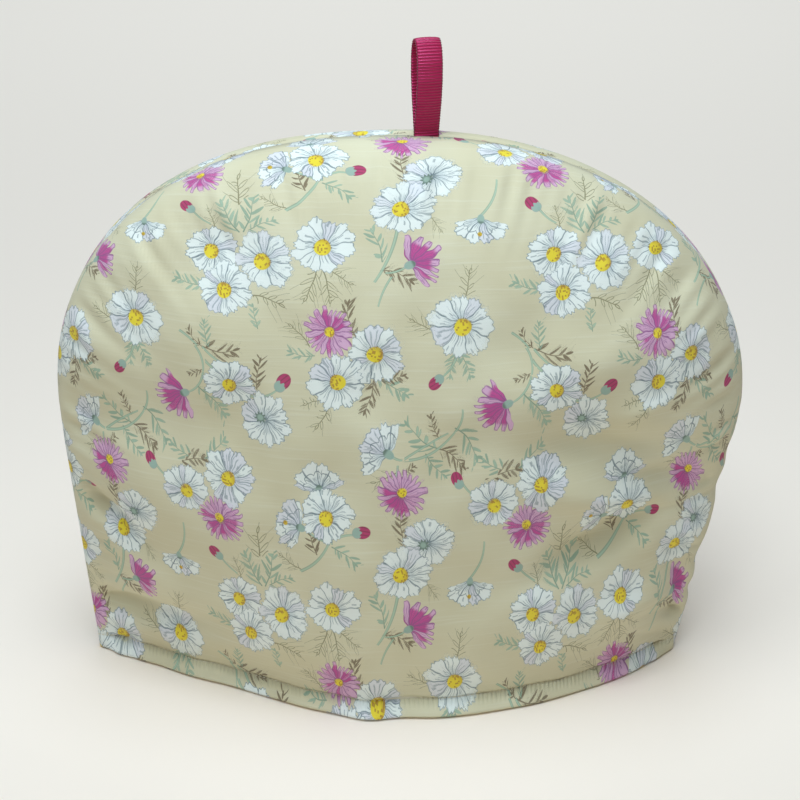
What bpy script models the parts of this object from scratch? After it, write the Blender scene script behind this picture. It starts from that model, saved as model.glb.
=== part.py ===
"""A padded tea cosy: two dome-shaped cotton panels, sewn together round the dome, standing open
on their turned hem, with a loop of ribbed ribbon sewn into the top of the seam.

Metres, +Z up. The front panel faces -Y. The origin is on the surface that the hem stands on,
under the middle of the cosy.
"""

import math

import bmesh
import bpy
import numpy as np

# The cosy as it stands
WIDTH = 0.2924
HEIGHT = 0.2394
WIDEST_AT = 0.126
HALF_WIDTH = WIDTH / 2

# How far each side seam draws in between the widest part and the hem, and how full its shoulder is
SIDE_TAPER = {"left": 0.0086, "right": 0.0209}
TAPER_CURVE = 1.15
SHOULDER_CURVE = {"left": 2.20, "right": 2.10}
SHOULDER_FULLNESS = {"left": 2.35, "right": 2.10}

# Depth of one panel in front of the seam, up its middle
HEM_DEPTH = 0.0626
BELLY_DEPTH = 0.0660
BELLY_AT = 0.085
CROWN_CURVE = 1.7
CROWN_FULLNESS = 2.1

# The padded cloth: outer cotton, wadding and the cloth inside it
PADDING = 0.0060
EDGE_ROLL = 0.0040
SEAM_VALLEY = 0.0012
VALLEY_REACH = 0.0018
SEAM_GAP = 0.0003

# The turned hem, a soft roll below its row of stitching
HEM_HEIGHT = 0.0066
HEM_PUFF = 0.0014
STITCH_SINK = 0.0011
STITCH_SPREAD = 0.0012
HEM_FOOT = 0.0018
INNER_FOOT = 0.0005

# Plan of the cosy at a few heights. nose is where the panel stands furthest forward. A flank is
# straight where bow is small and rounded where it is large. swell is 1 where the flank meets the
# seam as a plain edge and 2 where it turns in as an ellipse does.
SECTION_COLUMNS = ("height", "nose", "left_bow", "left_swell", "right_bow", "right_swell")
FRONT_SECTIONS = (
    (0.000, -0.009, 0.16, 1.00, 2.0, 1.18),
    (0.050, -0.008, 0.35, 1.20, 2.0, 1.40),
    (0.120, -0.004, 1.20, 1.65, 2.0, 1.70),
    (0.180, 0.000, 2.00, 1.90, 2.0, 1.90),
    (0.240, 0.000, 2.00, 2.00, 2.0, 2.00),
)
BACK_SECTIONS = (
    (0.000, 0.006, 1.20, 1.15, 0.6, 1.10),
    (0.050, 0.005, 1.40, 1.30, 0.9, 1.25),
    (0.120, 0.002, 2.00, 1.65, 1.6, 1.65),
    (0.180, 0.000, 2.00, 1.90, 2.0, 1.90),
    (0.240, 0.000, 2.00, 2.00, 2.0, 2.00),
)

# Main folds of each panel. Each is a soft trough, or a ridge where sink is negative, centred at
# x and z, running along turn, in degrees from +X towards +Z.
FOLD_COLUMNS = ("x", "z", "turn", "length", "width", "sink")
FRONT_FOLDS = (
    (-0.078, 0.196, 22, 0.050, 0.016, 0.0030),
    (-0.112, 0.150, 62, 0.040, 0.016, 0.0016),
    (-0.128, 0.083, -38, 0.028, 0.010, 0.0030),
    (-0.122, 0.062, -30, 0.026, 0.009, -0.0018),
    (-0.118, 0.043, -42, 0.026, 0.009, 0.0026),
    (-0.060, 0.118, -8, 0.060, 0.018, 0.0012),
    (0.018, 0.222, 74, 0.016, 0.007, 0.0022),
    (0.086, 0.204, -38, 0.045, 0.016, 0.0022),
    (0.066, 0.122, -34, 0.070, 0.014, 0.0022),
    (0.084, 0.092, -16, 0.050, 0.013, 0.0030),
    (0.086, 0.068, 22, 0.050, 0.013, -0.0016),
    (0.080, 0.048, 30, 0.046, 0.012, 0.0024),
    (0.122, 0.030, 58, 0.022, 0.010, 0.0022),
    (0.020, 0.060, 68, 0.050, 0.018, 0.0012),
)
BACK_FOLDS = (
    (0.082, 0.192, -24, 0.050, 0.016, 0.0026),
    (0.120, 0.088, 40, 0.030, 0.011, 0.0026),
    (0.108, 0.048, 28, 0.032, 0.010, 0.0024),
    (-0.004, 0.118, 6, 0.070, 0.020, 0.0014),
    (-0.076, 0.110, 34, 0.060, 0.014, 0.0022),
    (-0.088, 0.190, 34, 0.045, 0.016, 0.0022),
    (-0.100, 0.052, -36, 0.036, 0.012, 0.0024),
)
FOLD_FADE = 0.010

# Where the points of a panel lie: distances in from each side seam, heights up from the hem, and
# distances down from the top of the seam
FROM_SEAM = (0.0, 0.0005, 0.0016, 0.0036, 0.0070, 0.0120)
FROM_HEM = (0.0, 0.0012, 0.0033, 0.0052, 0.0066, 0.0080, 0.0115, 0.0190)
FROM_TOP = (0.0, 0.0006, 0.0018, 0.0038, 0.0070, 0.0115)
STEP_ACROSS = 0.0110
STEP_UP = 0.0106
NEAR_MIDDLE = 0.1

# The ribbon loop. spread is the distance of one leg from the middle of the loop, at a height up
# the loop, and the loop is turned a little about its own upright middle.
RIBBON_WIDTH = 0.0103
RIBBON_THICKNESS = 0.0010
RIBBON_X = 0.0106
LOOP_TURN = math.radians(12)
LOOP_TOP = 0.2778
LOOP_SEWN_IN = 0.0036
LEG_GAP = 0.0003
LOOP_COLUMNS = ("share_up", "spread")
LOOP_LEG = (
    (0.00, 0.00065),
    (0.10, 0.00065),
    (0.24, 0.00240),
    (0.42, 0.00470),
    (0.62, 0.00620),
    (0.80, 0.00620),
    (0.90, 0.00510),
    (0.96, 0.00350),
    (0.99, 0.00185),
    (1.00, 0.00000),
)
LEG_POINTS = 200
LEG_SMOOTHING = 6
RIB_PITCH = 0.0012
RIB_RELIEF = 0.00012
POCKET_CLEARANCE = 0.0003
SHARP_ANGLE = math.radians(50)

# Colours, linear: cream printed cotton and magenta ribbon
CREAM = (0.78, 0.69, 0.42, 1.0)
MAGENTA = (0.48, 0.012, 0.10, 1.0)
COTTON_ROUGHNESS = 0.9
RIBBON_ROUGHNESS = 0.5


def side_of(share):
    """The name of the side that a share across the cosy lies on, -1 at the left seam."""
    return "left" if share < 0 else "right"


def half_width(height, side, inset):
    """Distance from the cosy's middle to its side seam at a height, drawn in by inset."""
    top = HEIGHT - inset
    height = min(height, top)
    if height < WIDEST_AT:
        drop = (WIDEST_AT - height) / WIDEST_AT
        return HALF_WIDTH - inset - SIDE_TAPER[side] * drop**TAPER_CURVE
    rise = (height - WIDEST_AT) / (top - WIDEST_AT)
    narrowing = max(1 - rise ** SHOULDER_CURVE[side], 0.0)
    return (HALF_WIDTH - inset) * narrowing ** (1 / SHOULDER_FULLNESS[side])


def middle_depth(height, inset):
    """Depth of a panel's middle at a height, drawn in by inset."""
    top = HEIGHT - inset
    if height < BELLY_AT:
        drop = (BELLY_AT - height) / BELLY_AT
        return BELLY_DEPTH - inset - (BELLY_DEPTH - HEM_DEPTH) * drop**2
    rise = min((height - BELLY_AT) / (top - BELLY_AT), 1.0)
    return (BELLY_DEPTH - inset) * (1 - rise**CROWN_CURVE) ** (1 / CROWN_FULLNESS)


def section_at(sections, height):
    """The plan's nose, bows and swells at a height, eased between the rows of the table."""
    rows = np.array(sections)
    heights = rows[:, SECTION_COLUMNS.index("height")]
    k = int(np.clip(np.searchsorted(heights, height) - 1, 0, len(rows) - 2))
    share = float(np.clip((height - heights[k]) / (heights[k + 1] - heights[k]), 0, 1))
    eased = share * share * (3 - 2 * share)
    return dict(zip(SECTION_COLUMNS, rows[k] + (rows[k + 1] - rows[k]) * eased))


def lens(share, bow, swell):
    """Height of a plan curve that is 1 at its nose and 0 at the seam, where share is 1."""
    flank = (math.hypot(share, bow) - bow) / (math.hypot(1, bow) - bow)
    return max(1 - flank, 0.0) ** (1 / swell)


def rim_distance(across, up):
    """How far a point lies in from the dome's edge, along the line to it from the middle of the
    hem. across and up are its shares of the cosy's half width at its height, and of its height."""
    z = HEIGHT * up
    x = half_width(z, side_of(across), 0.0) * across
    share = math.sqrt(max(1 - (1 - across**2) * (1 - up**2), 0.0))
    return (1 - share) * math.hypot(x, z) / share if share > NEAR_MIDDLE else HALF_WIDTH


def edge_roll(distance):
    """Rise of the rounded padded edge at a distance in from the seam."""
    left = max(1 - distance / EDGE_ROLL, 0.0)
    return EDGE_ROLL * math.sqrt(1 - left * left)


def hem_relief(height):
    """How far the rolled hem stands out at a height, below zero in its stitching and at its foot."""
    puff = HEM_PUFF * math.sin(math.pi * height / HEM_HEIGHT) if height < HEM_HEIGHT else 0.0
    sink = STITCH_SINK * math.exp(-(((height - HEM_HEIGHT) / STITCH_SPREAD) ** 2))
    foot = HEM_FOOT * max(1 - height / HEM_FOOT, 0.0) ** 2
    return puff - sink - foot


def fold_depth(folds, x, z):
    """How far the folds sink a panel at x and z."""
    total = 0.0
    for row in folds:
        fold = dict(zip(FOLD_COLUMNS, row))
        turn = math.radians(fold["turn"])
        along = (x - fold["x"]) * math.cos(turn) + (z - fold["z"]) * math.sin(turn)
        across = (z - fold["z"]) * math.cos(turn) - (x - fold["x"]) * math.sin(turn)
        total += fold["sink"] * math.exp(
            -((along / fold["length"]) ** 2) - (across / fold["width"]) ** 2
        )
    return total


def panel_place(column, row):
    """Shares across and up the cosy of a point of the flat square, which is -1 to 1 across and
    0 to 1 up. The square's upper corners land on the shoulders of the dome."""
    narrowing = math.sqrt(1 - column * column / 2)
    room = math.sqrt(1 - (row * narrowing) ** 2)
    across = column * math.sqrt(1 - row * row / 2) / room if room else 0.0
    ease = row * row * (3 - 2 * row)
    return min(max(across, -1.0), 1.0), row * (1 - (1 - narrowing) * ease)


def plan_shape(sections, across, z):
    """The plan's depth at height z as a share of its depth at the nose. across is the share of
    the half width there."""
    section = section_at(sections, z)
    nose = section["nose"] / HALF_WIDTH
    flank = side_of(across - nose)
    end = -1 if flank == "left" else 1
    return lens((across - nose) / (end - nose), section[flank + "_bow"], section[flank + "_swell"])


def outer_point(sections, folds, facing, across, up, on_rim):
    """A point of the printed face. Next to the rim it is drawn in to the seam's valley."""
    distance = rim_distance(across, up)
    inset = SEAM_VALLEY * max(1 - distance / VALLEY_REACH, 0.0) ** 2
    z = (HEIGHT - inset) * up
    x = across * half_width(z, side_of(across), inset)
    if on_rim:
        return x, facing * SEAM_GAP / 2, z
    depth = (middle_depth(z, 0.0) - EDGE_ROLL) * plan_shape(sections, across, z)
    relief = hem_relief(z) - fold_depth(folds, x, z)
    depth += edge_roll(distance) + relief * min(distance / FOLD_FADE, 1.0)
    return x, facing * (SEAM_GAP / 2 + depth), z


def inner_point(sections, facing, across, up, on_rim):
    """A point of the face towards the pot."""
    z = (HEIGHT - PADDING) * up
    x = across * half_width(z, side_of(across), PADDING)
    if on_rim:
        return x, facing * SEAM_GAP / 2, z
    depth = middle_depth(z, PADDING) * plan_shape(sections, across, z)
    foot = INNER_FOOT * max(1 - z / HEM_FOOT, 0.0)
    return x, facing * (SEAM_GAP / 2 + depth + foot), z


def spaced(near_edge, step, span):
    """Distances from one edge to span: the given ones, then even steps of about step."""
    rest = span - near_edge[-1]
    count = max(round(rest / step), 1)
    return list(near_edge) + [near_edge[-1] + rest * (i + 1) / count for i in range(count)]


def columns_of_panel():
    """Places of the columns, from -1 at the left seam to 1 at the right one."""
    half = [1 - d / HALF_WIDTH for d in spaced(FROM_SEAM, STEP_ACROSS, HALF_WIDTH)]
    return [-c for c in half] + half[-2::-1]


def rows_of_panel():
    """Places of the rows, from 0 at the hem to 1 at the top of the seam."""
    upper = [HEIGHT - d for d in FROM_TOP][::-1]
    lower = spaced(FROM_HEM, STEP_UP, upper[0])
    return [z / HEIGHT for z in lower + upper[1:]]


def slab(columns, rows):
    """A flat grid pulled into a slab of no thickness: its mesh, the points of its first face and
    those of its second. Each point's x and y are its column and its row."""
    mesh = bmesh.new()
    across, up = len(columns) - 1, len(rows) - 1
    bmesh.ops.create_grid(mesh, x_segments=across, y_segments=up, size=1)
    first = list(mesh.verts)
    pulled = bmesh.ops.extrude_face_region(mesh, geom=mesh.faces[:])
    second = [g for g in pulled["geom"] if isinstance(g, bmesh.types.BMVert)]
    for vert in mesh.verts:
        vert.co.x = columns[round((vert.co.x + 1) / 2 * across)]
        vert.co.y = rows[round((vert.co.y + 1) / 2 * up)]
    return mesh, first, second


def object_of(mesh, name, material, collection):
    """A finished object of a bmesh, with its faces pointing out and shaded smooth."""
    bmesh.ops.recalc_face_normals(mesh, faces=mesh.faces[:])
    if mesh.calc_volume(signed=True) < 0:
        bmesh.ops.reverse_faces(mesh, faces=mesh.faces[:])
    data = bpy.data.meshes.new(name)
    mesh.to_mesh(data)
    mesh.free()
    data.materials.append(material)
    data.shade_smooth()
    data.set_sharp_from_angle(angle=SHARP_ANGLE)
    made = bpy.data.objects.new(name, data)
    collection.objects.link(made)
    return made


def panel(name, sections, folds, facing, material, collection):
    """One padded panel. facing is -1 for the front and 1 for the back."""
    mesh, inner, outer = slab(columns_of_panel(), rows_of_panel())
    for skin, verts in (("outer", outer), ("inner", inner)):
        for vert in verts:
            on_rim = abs(vert.co.x) == 1 or vert.co.y == 1
            across, up = panel_place(vert.co.x, vert.co.y)
            if skin == "outer":
                vert.co = outer_point(sections, folds, facing, across, up, on_rim)
            else:
                vert.co = inner_point(sections, facing, across, up, on_rim)
    return object_of(mesh, name, material, collection)


def leg_spread(share):
    """Half the distance between the legs of the loop at a share of its height."""
    rows = np.array(LOOP_LEG)
    heights = rows[:, LOOP_COLUMNS.index("share_up")]
    spreads = rows[:, LOOP_COLUMNS.index("spread")]
    turn = np.arccos(np.clip(1 - 2 * heights, -1, 1))
    return float(np.interp(math.acos(1 - 2 * share), turn, spreads))


def loop_path(low, high, steps):
    """Points of the ribbon's middle line, up one leg and down the other, evenly spaced."""
    angles = np.linspace(0, math.pi, LEG_POINTS)
    leg = [(leg_spread((1 - math.cos(a)) / 2), (1 - math.cos(a)) / 2) for a in angles]
    up = [(-s, low + h * (high - low)) for s, h in leg]
    down = [(s, low + h * (high - low)) for s, h in leg[-2::-1]]
    points = np.array(up + down)
    for _ in range(LEG_SMOOTHING):
        points[1:-1] = (points[:-2] + 2 * points[1:-1] + points[2:]) / 4
    lengths = np.concatenate([[0], np.cumsum(np.hypot(*np.diff(points, axis=0).T))])
    wanted = np.linspace(0, lengths[-1], steps + 1)
    spread = np.interp(wanted, lengths, points[:, 0])
    height = np.interp(wanted, lengths, points[:, 1])
    return np.column_stack([spread, height]), lengths[-1]


def ribbon_loop(base, material, collection):
    """The ribbon: its ends lie face to face in the seam's pocket, and ribs cross its whole width."""
    top = LOOP_TOP - RIBBON_THICKNESS / 2
    _, length = loop_path(base, top, 2)
    ribs = round(length / RIB_PITCH)
    path, _ = loop_path(base, top, 2 * ribs)
    along = np.gradient(path, axis=0)
    along /= np.linalg.norm(along, axis=1)[:, None]
    columns = list(range(2 * ribs + 1))
    mesh, inner, outer = slab(columns, [-RIBBON_WIDTH / 2, RIBBON_WIDTH / 2])
    for face, verts in ((1, inner), (-1, outer)):
        for vert in verts:
            k = round(vert.co.x)
            rise = RIB_RELIEF / 2 if k % 2 else -RIB_RELIEF / 2
            off = face * (RIBBON_THICKNESS / 2 + rise)
            spread = path[k][0] + along[k][1] * off
            height = path[k][1] - along[k][0] * off
            wide = vert.co.y
            x = RIBBON_X + wide * math.cos(LOOP_TURN) - spread * math.sin(LOOP_TURN)
            y = wide * math.sin(LOOP_TURN) + spread * math.cos(LOOP_TURN)
            vert.co = (x, y, height)
    return object_of(mesh, "ribbon_loop", material, collection)


def cut_pocket(panels, base, collection):
    """Cuts the pocket in the top of the seam that the two ends of the ribbon are sewn into."""
    half_pair = LEG_GAP / 2 + RIBBON_THICKNESS + RIB_RELIEF + POCKET_CLEARANCE
    half_long = RIBBON_WIDTH / 2 + POCKET_CLEARANCE
    low = base - POCKET_CLEARANCE
    high = HEIGHT + POCKET_CLEARANCE
    bpy.ops.mesh.primitive_cube_add(
        size=1,
        location=(RIBBON_X, 0, (low + high) / 2),
        rotation=(0, 0, LOOP_TURN),
        scale=(2 * half_long, 2 * half_pair, high - low),
    )
    cutter = bpy.context.object
    cutter.name = "ribbon_pocket"
    cutter.hide_render = True
    cutter.display_type = "WIRE"
    for holder in list(cutter.users_collection):
        holder.objects.unlink(cutter)
    collection.objects.link(cutter)
    for made in panels:
        pocket = made.modifiers.new("ribbon_pocket", "BOOLEAN")
        pocket.operation = "DIFFERENCE"
        pocket.object = cutter


def material_of(name, colour, roughness):
    """A plain material of one colour."""
    made = bpy.data.materials.new(name)
    made.use_nodes = True
    surface = made.node_tree.nodes["Principled BSDF"]
    surface.inputs["Base Color"].default_value = colour
    surface.inputs["Roughness"].default_value = roughness
    surface.inputs["Metallic"].default_value = 0.0
    return made


def new_collection(name):
    """A collection linked to the scene."""
    made = bpy.data.collections.new(name)
    bpy.context.scene.collection.children.link(made)
    return made


def main():
    """Builds the cosy."""
    for old in list(bpy.data.objects):
        bpy.data.objects.remove(old, do_unlink=True)
    pieces = new_collection("tea_cosy")
    cutters = new_collection("cutters")
    base = HEIGHT - LOOP_SEWN_IN
    front = panel(
        "front_panel", FRONT_SECTIONS, FRONT_FOLDS, -1,
        material_of("front_cotton", CREAM, COTTON_ROUGHNESS), pieces,
    )
    back = panel(
        "back_panel", BACK_SECTIONS, BACK_FOLDS, 1,
        material_of("back_cotton", CREAM, COTTON_ROUGHNESS), pieces,
    )
    ribbon_loop(base, material_of("magenta_ribbon", MAGENTA, RIBBON_ROUGHNESS), pieces)
    cut_pocket((front, back), base, cutters)


main()
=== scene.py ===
"""Dresses the tea cosy: two padded panels of printed cotton with a stitched hem, and a loop of
grosgrain ribbon, on a plain pale floor under soft light.

Metres, +Z up, with the front panel facing -Y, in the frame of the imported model.
"""

import ast
import itertools
import logging
import math
import operator
from dataclasses import dataclass, field
from enum import Enum
from typing import Any, NamedTuple

import bpy
import numpy as np
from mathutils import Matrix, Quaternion, Vector


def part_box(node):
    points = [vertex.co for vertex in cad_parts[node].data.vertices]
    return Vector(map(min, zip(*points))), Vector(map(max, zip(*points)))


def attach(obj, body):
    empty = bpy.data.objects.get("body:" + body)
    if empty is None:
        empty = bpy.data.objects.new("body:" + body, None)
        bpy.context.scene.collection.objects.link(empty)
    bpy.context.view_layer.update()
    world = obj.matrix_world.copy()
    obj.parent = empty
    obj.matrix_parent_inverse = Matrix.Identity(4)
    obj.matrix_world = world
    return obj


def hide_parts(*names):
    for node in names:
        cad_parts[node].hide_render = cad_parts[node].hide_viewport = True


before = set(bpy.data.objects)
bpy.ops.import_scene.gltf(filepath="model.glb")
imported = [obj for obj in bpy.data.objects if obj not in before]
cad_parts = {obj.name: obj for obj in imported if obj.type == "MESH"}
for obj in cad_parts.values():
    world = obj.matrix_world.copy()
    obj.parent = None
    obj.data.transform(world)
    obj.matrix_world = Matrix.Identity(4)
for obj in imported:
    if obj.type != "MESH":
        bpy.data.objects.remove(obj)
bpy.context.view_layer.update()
LOG = logging.getLogger("tea_cosy")
MM = 0.001
TURN = 2 * math.pi
GOLDEN = 0.618
BODY = "root"


class Facing(Enum):
    """The way that a panel's printed face looks along Y."""

    FRONT = -1
    BACK = 1


class Section(NamedTuple):
    """Plan of a panel at one height. nose is where it stands furthest out. A flank is straight
    where its bow is small, and meets the seam as an ellipse does where its swell is 2."""

    height: float
    nose: float
    left_bow: float
    left_swell: float
    right_bow: float
    right_swell: float


class Fold(NamedTuple):
    """A soft trough, or a ridge where sink is negative, centred at x and z and running along
    turn, in degrees from +X towards +Z."""

    x: float
    z: float
    turn: float
    length: float
    width: float
    sink: float


class Dent(NamedTuple):
    """A place where a side seam is drawn in: its height, how far it reaches and its depth."""

    height: float
    reach: float
    depth: float


def linear(code: str) -> tuple[float, float, float, float]:
    """Turns an sRGB hex colour into linear light.

    Args:
        code: The colour, such as "#E9E0BB".

    Returns:
        Red, green, blue and alpha.
    """
    shares = [int(code[i : i + 2], 16) / 255 for i in (1, 3, 5)]
    parts = [s / 12.92 if s <= 0.04045 else ((s + 0.055) / 1.055) ** 2.4 for s in shares]
    return (parts[0], parts[1], parts[2], 1.0)


def add(tree: bpy.types.NodeTree, kind: str, links: dict | None = None, **settings: Any) -> Any:
    """Adds a node with its settings and links.

    Args:
        tree: The tree that the node goes in.
        kind: The node's type.
        links: Input sockets, by name or number, with a socket or a plain value for each.
        settings: The node's own properties.

    Returns:
        The new node.
    """
    node = tree.nodes.new(kind)
    for name, value in settings.items():
        setattr(node, name, value)
    for key, value in (links or {}).items():
        if isinstance(value, bpy.types.NodeSocket):
            tree.links.new(value, node.inputs[key])
        else:
            node.inputs[key].default_value = value
    return node


class Sums:
    """Turns written arithmetic into math nodes of one tree, and keeps each result by its name."""

    WORKED = {
        ast.Add: ("ADD", operator.add),
        ast.Sub: ("SUBTRACT", operator.sub),
        ast.Mult: ("MULTIPLY", operator.mul),
        ast.Div: ("DIVIDE", operator.truediv),
        ast.Pow: ("POWER", operator.pow),
    }
    COMPARED = {ast.Lt: "LESS_THAN", ast.Gt: "GREATER_THAN"}
    CALLED = {
        "sine": "SINE", "cosine": "COSINE", "root": "SQRT", "size": "ABSOLUTE", "floor": "FLOOR",
        "nearest": "ROUND", "turn": "ARCTAN2", "least": "MINIMUM", "most": "MAXIMUM",
        "wrap": "FLOORED_MODULO", "sign": "SIGN",
    }

    def __init__(self, tree: bpy.types.NodeTree, **known: Any) -> None:
        """Starts with the sockets and numbers that the sums may name."""
        self.tree = tree
        self.known = known

    def let(self, **sums: str) -> None:
        """Works each sum out in turn and keeps it under its name."""
        for name, text in sums.items():
            self.known[name] = self._result(ast.parse(text).body[0].value)

    def __getitem__(self, name: str) -> Any:
        """The socket or number kept under a name."""
        return self.known[name]

    def _math(self, operation: str, *parts: Any) -> Any:
        """Adds one math node and returns its output."""
        return add(self.tree, "ShaderNodeMath", dict(enumerate(parts)), operation=operation).outputs[0]

    def _result(self, part: ast.expr) -> Any:
        """Adds the nodes of one part of a sum.

        Args:
            part: The part, as parsed.

        Returns:
            A number if the part names no socket, and a socket otherwise.
        """
        if isinstance(part, ast.Name):
            return self.known[part.id]
        if isinstance(part, ast.Constant):
            return float(part.value)
        if isinstance(part, ast.UnaryOp):
            inner = self._result(part.operand)
            return -inner if isinstance(inner, float) else self._math("MULTIPLY", inner, -1.0)
        if isinstance(part, ast.BinOp):
            operation, plain = self.WORKED[type(part.op)]
            left, right = self._result(part.left), self._result(part.right)
            if isinstance(left, float) and isinstance(right, float):
                return plain(left, right)
            return self._math(operation, left, right)
        if isinstance(part, ast.Compare):
            left, right = self._result(part.left), self._result(part.comparators[0])
            return self._math(self.COMPARED[type(part.ops[0])], left, right)
        values = [self._result(value) for value in part.args]
        name = part.func.id
        if name == "chance":
            links = {"W": values[0]}
            return add(self.tree, "ShaderNodeTexWhiteNoise", links, noise_dimensions="1D").outputs[0]
        if name == "ease":
            links = {"Value": values[0], "From Min": values[1], "From Max": values[2]}
            ramp = add(self.tree, "ShaderNodeMapRange", links, interpolation_type="SMOOTHSTEP")
            return ramp.outputs["Result"]
        return self._math(self.CALLED[name], *values)


def new_material(name: str) -> tuple[bpy.types.Material, bpy.types.NodeTree, bpy.types.Node]:
    """Starts a material and returns it with its tree and its shader."""
    material = bpy.data.materials.new(name)
    material.use_nodes = True
    tree = material.node_tree
    return material, tree, tree.nodes["Principled BSDF"]


def placed(name: str, data: bpy.types.ID) -> bpy.types.Object:
    """Puts a new object with its mesh, lamp or camera in the scene."""
    piece = bpy.data.objects.new(name, data)
    bpy.context.scene.collection.objects.link(piece)
    return piece


def write_vectors(mesh: bpy.types.Mesh, name: str, domain: str, values: np.ndarray) -> None:
    """Keeps a vector for each point or face corner of a mesh.

    Args:
        mesh: The mesh.
        name: The attribute's name.
        domain: "POINT" or "CORNER".
        values: The vectors, in the last axis, where the third part may be left out.
    """
    rows = values.reshape(-1, values.shape[-1])
    vectors = np.zeros((len(rows), 3), dtype=np.float32)
    vectors[:, : rows.shape[1]] = rows
    mesh.attributes.new(name, "FLOAT_VECTOR", domain).data.foreach_set("vector", vectors.ravel())


def sheet_faces(shape: tuple[int, int]) -> tuple[np.ndarray, np.ndarray, np.ndarray]:
    """Faces of a closed sheet, whose back has as many points as its front, kept after them.

    Args:
        shape: Rows and columns of the front's points.

    Returns:
        The faces of the front, of the rim between front and back, and of the back.
    """
    places = np.arange(shape[0] * shape[1]).reshape(shape)
    corners = (places[:-1, :-1], places[:-1, 1:], places[1:, 1:], places[1:, :-1])
    front = np.stack(corners, axis=-1).reshape(-1, 4)
    loop = np.concatenate((places[0], places[1:, -1], places[-1, -2::-1], places[-2::-1, 0]))
    first, second = loop[:-1], loop[1:]
    rim = np.stack([second, first, first + places.size, second + places.size], axis=-1)
    return front, rim, front[:, ::-1] + places.size


def blend_colours(tree: bpy.types.NodeTree, share: Any, first: Any, second: Any) -> Any:
    """Mixes two colours.

    Args:
        tree: The tree that the mix goes in.
        share: How much of the second colour shows, from 0 to 1.
        first: A socket or a linear colour.
        second: A socket or a linear colour.

    Returns:
        The mixed colour's socket.
    """
    return add(tree, "ShaderNodeMix", {0: share, 6: first, 7: second}, data_type="RGBA").outputs[2]


@dataclass(frozen=True)
class Dome:
    """The dome that both panels are cut to, and how far each bulges from the seam."""

    width: float = 0.2924
    height: float = 0.2394
    widest_at: float = 0.126
    side_taper: tuple[float, float] = (0.0086, 0.0209)
    taper_curve: float = 1.15
    shoulder_curve: tuple[float, float] = (2.20, 2.10)
    shoulder_fullness: tuple[float, float] = (2.35, 2.10)
    hem_depth: float = 0.0626
    belly_depth: float = 0.0660
    belly_at: float = 0.085
    crown_curve: float = 1.7
    crown_fullness: float = 2.1
    near_middle: float = 0.1
    right_dents: tuple[Dent, ...] = (
        Dent(0.102, 0.006, 0.0012),
        Dent(0.085, 0.007, 0.0018),
        Dent(0.049, 0.008, 0.0020),
        Dent(0.033, 0.004, 0.0016),
    )

    def half_width(self, z: np.ndarray, across: np.ndarray, inset: Any = 0.0) -> np.ndarray:
        """Distance from the cosy's middle to its side seam.

        Args:
            z: Height.
            across: Share of the half width, of which only the sign counts here.
            inset: How far the seam is drawn in.

        Returns:
            The distance at each height.
        """
        pairs = (self.side_taper, self.shoulder_curve, self.shoulder_fullness)
        taper, curve, fullness = (np.where(across < 0, *pair) for pair in pairs)
        top = self.height - inset
        drop = np.clip(1 - z / self.widest_at, 0, None)
        rise = np.clip((z - self.widest_at) / (top - self.widest_at), 0, 1)
        narrowing = (1 - rise**curve) ** (1 / fullness)
        dents = sum(d.depth * np.exp(-(((z - d.height) / d.reach) ** 2)) for d in self.right_dents)
        dents = np.where(across > 0, dents, 0)
        return (self.width / 2 - inset) * narrowing - taper * drop**self.taper_curve - dents

    def middle_depth(self, z: np.ndarray, inset: float = 0.0) -> np.ndarray:
        """Depth of a panel's middle at a height, drawn in by inset."""
        drop = np.clip(1 - z / self.belly_at, 0, None)
        rise = np.clip((z - self.belly_at) / (self.height - inset - self.belly_at), 0, 1)
        crown = (1 - rise**self.crown_curve) ** (1 / self.crown_fullness)
        return (self.belly_depth - inset) * crown - (self.belly_depth - self.hem_depth) * drop**2

    def rim_distance(self, across: np.ndarray, up: np.ndarray) -> np.ndarray:
        """How far a point lies in from the seam, from its shares of the width and height."""
        z = self.height * up
        x = self.half_width(z, across) * across
        share = np.sqrt(np.clip(1 - (1 - across**2) * (1 - up**2), 0, None))
        near = share < self.near_middle
        reach = np.hypot(x, z) / np.where(near, 1, share)
        return np.where(near, self.width / 2, (1 - share) * reach)


@dataclass(frozen=True)
class Hem:
    """The turned hem, a soft roll below its row of stitching, fullest just over the floor. The
    stitching sinks in, and draws the cloth in as far up as draw_reach."""

    height: float = 0.0066
    fullest: float = 0.0011
    puff: float = 0.0064
    swell: float = 1.5
    tuck: float = 0.7
    sink: float = 0.0013
    spread: float = 0.0011
    foot: float = 0.0018
    inner_foot: float = 0.0005
    draw: float = 0.0048
    draw_reach: float = 0.022
    drift: float = 0.00022
    drift_waves: tuple[float, float] = (0.047, 0.029)
    stitch_pitch: float = 0.0020
    stitch_length: float = 0.0014
    thread: float = 0.00040

    def line(self, x: np.ndarray) -> np.ndarray:
        """Height of the stitching at x, which wanders a little."""
        first, second = self.drift_waves
        return self.height + self.drift * (np.sin(x / first * TURN) + np.sin(x / second * TURN + 1))

    def relief(self, x: np.ndarray, z: np.ndarray) -> np.ndarray:
        """How far the hem stands out, below zero in its stitching and at its foot."""
        line = self.line(x)
        above = (z - self.fullest) / (line - self.fullest)
        below = self.tuck * (self.fullest - z) / self.fullest
        share = np.clip(np.where(z > self.fullest, above, below), 0, 1)
        puff = self.puff * (1 - share**self.swell)
        sink = self.sink * np.exp(-(((z - line) / self.spread) ** 2))
        sink += self.draw * np.exp(-((z / self.draw_reach) ** 2))
        foot = self.foot * np.clip(1 - z / self.foot, 0, None) ** 2
        return puff - sink - foot


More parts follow.
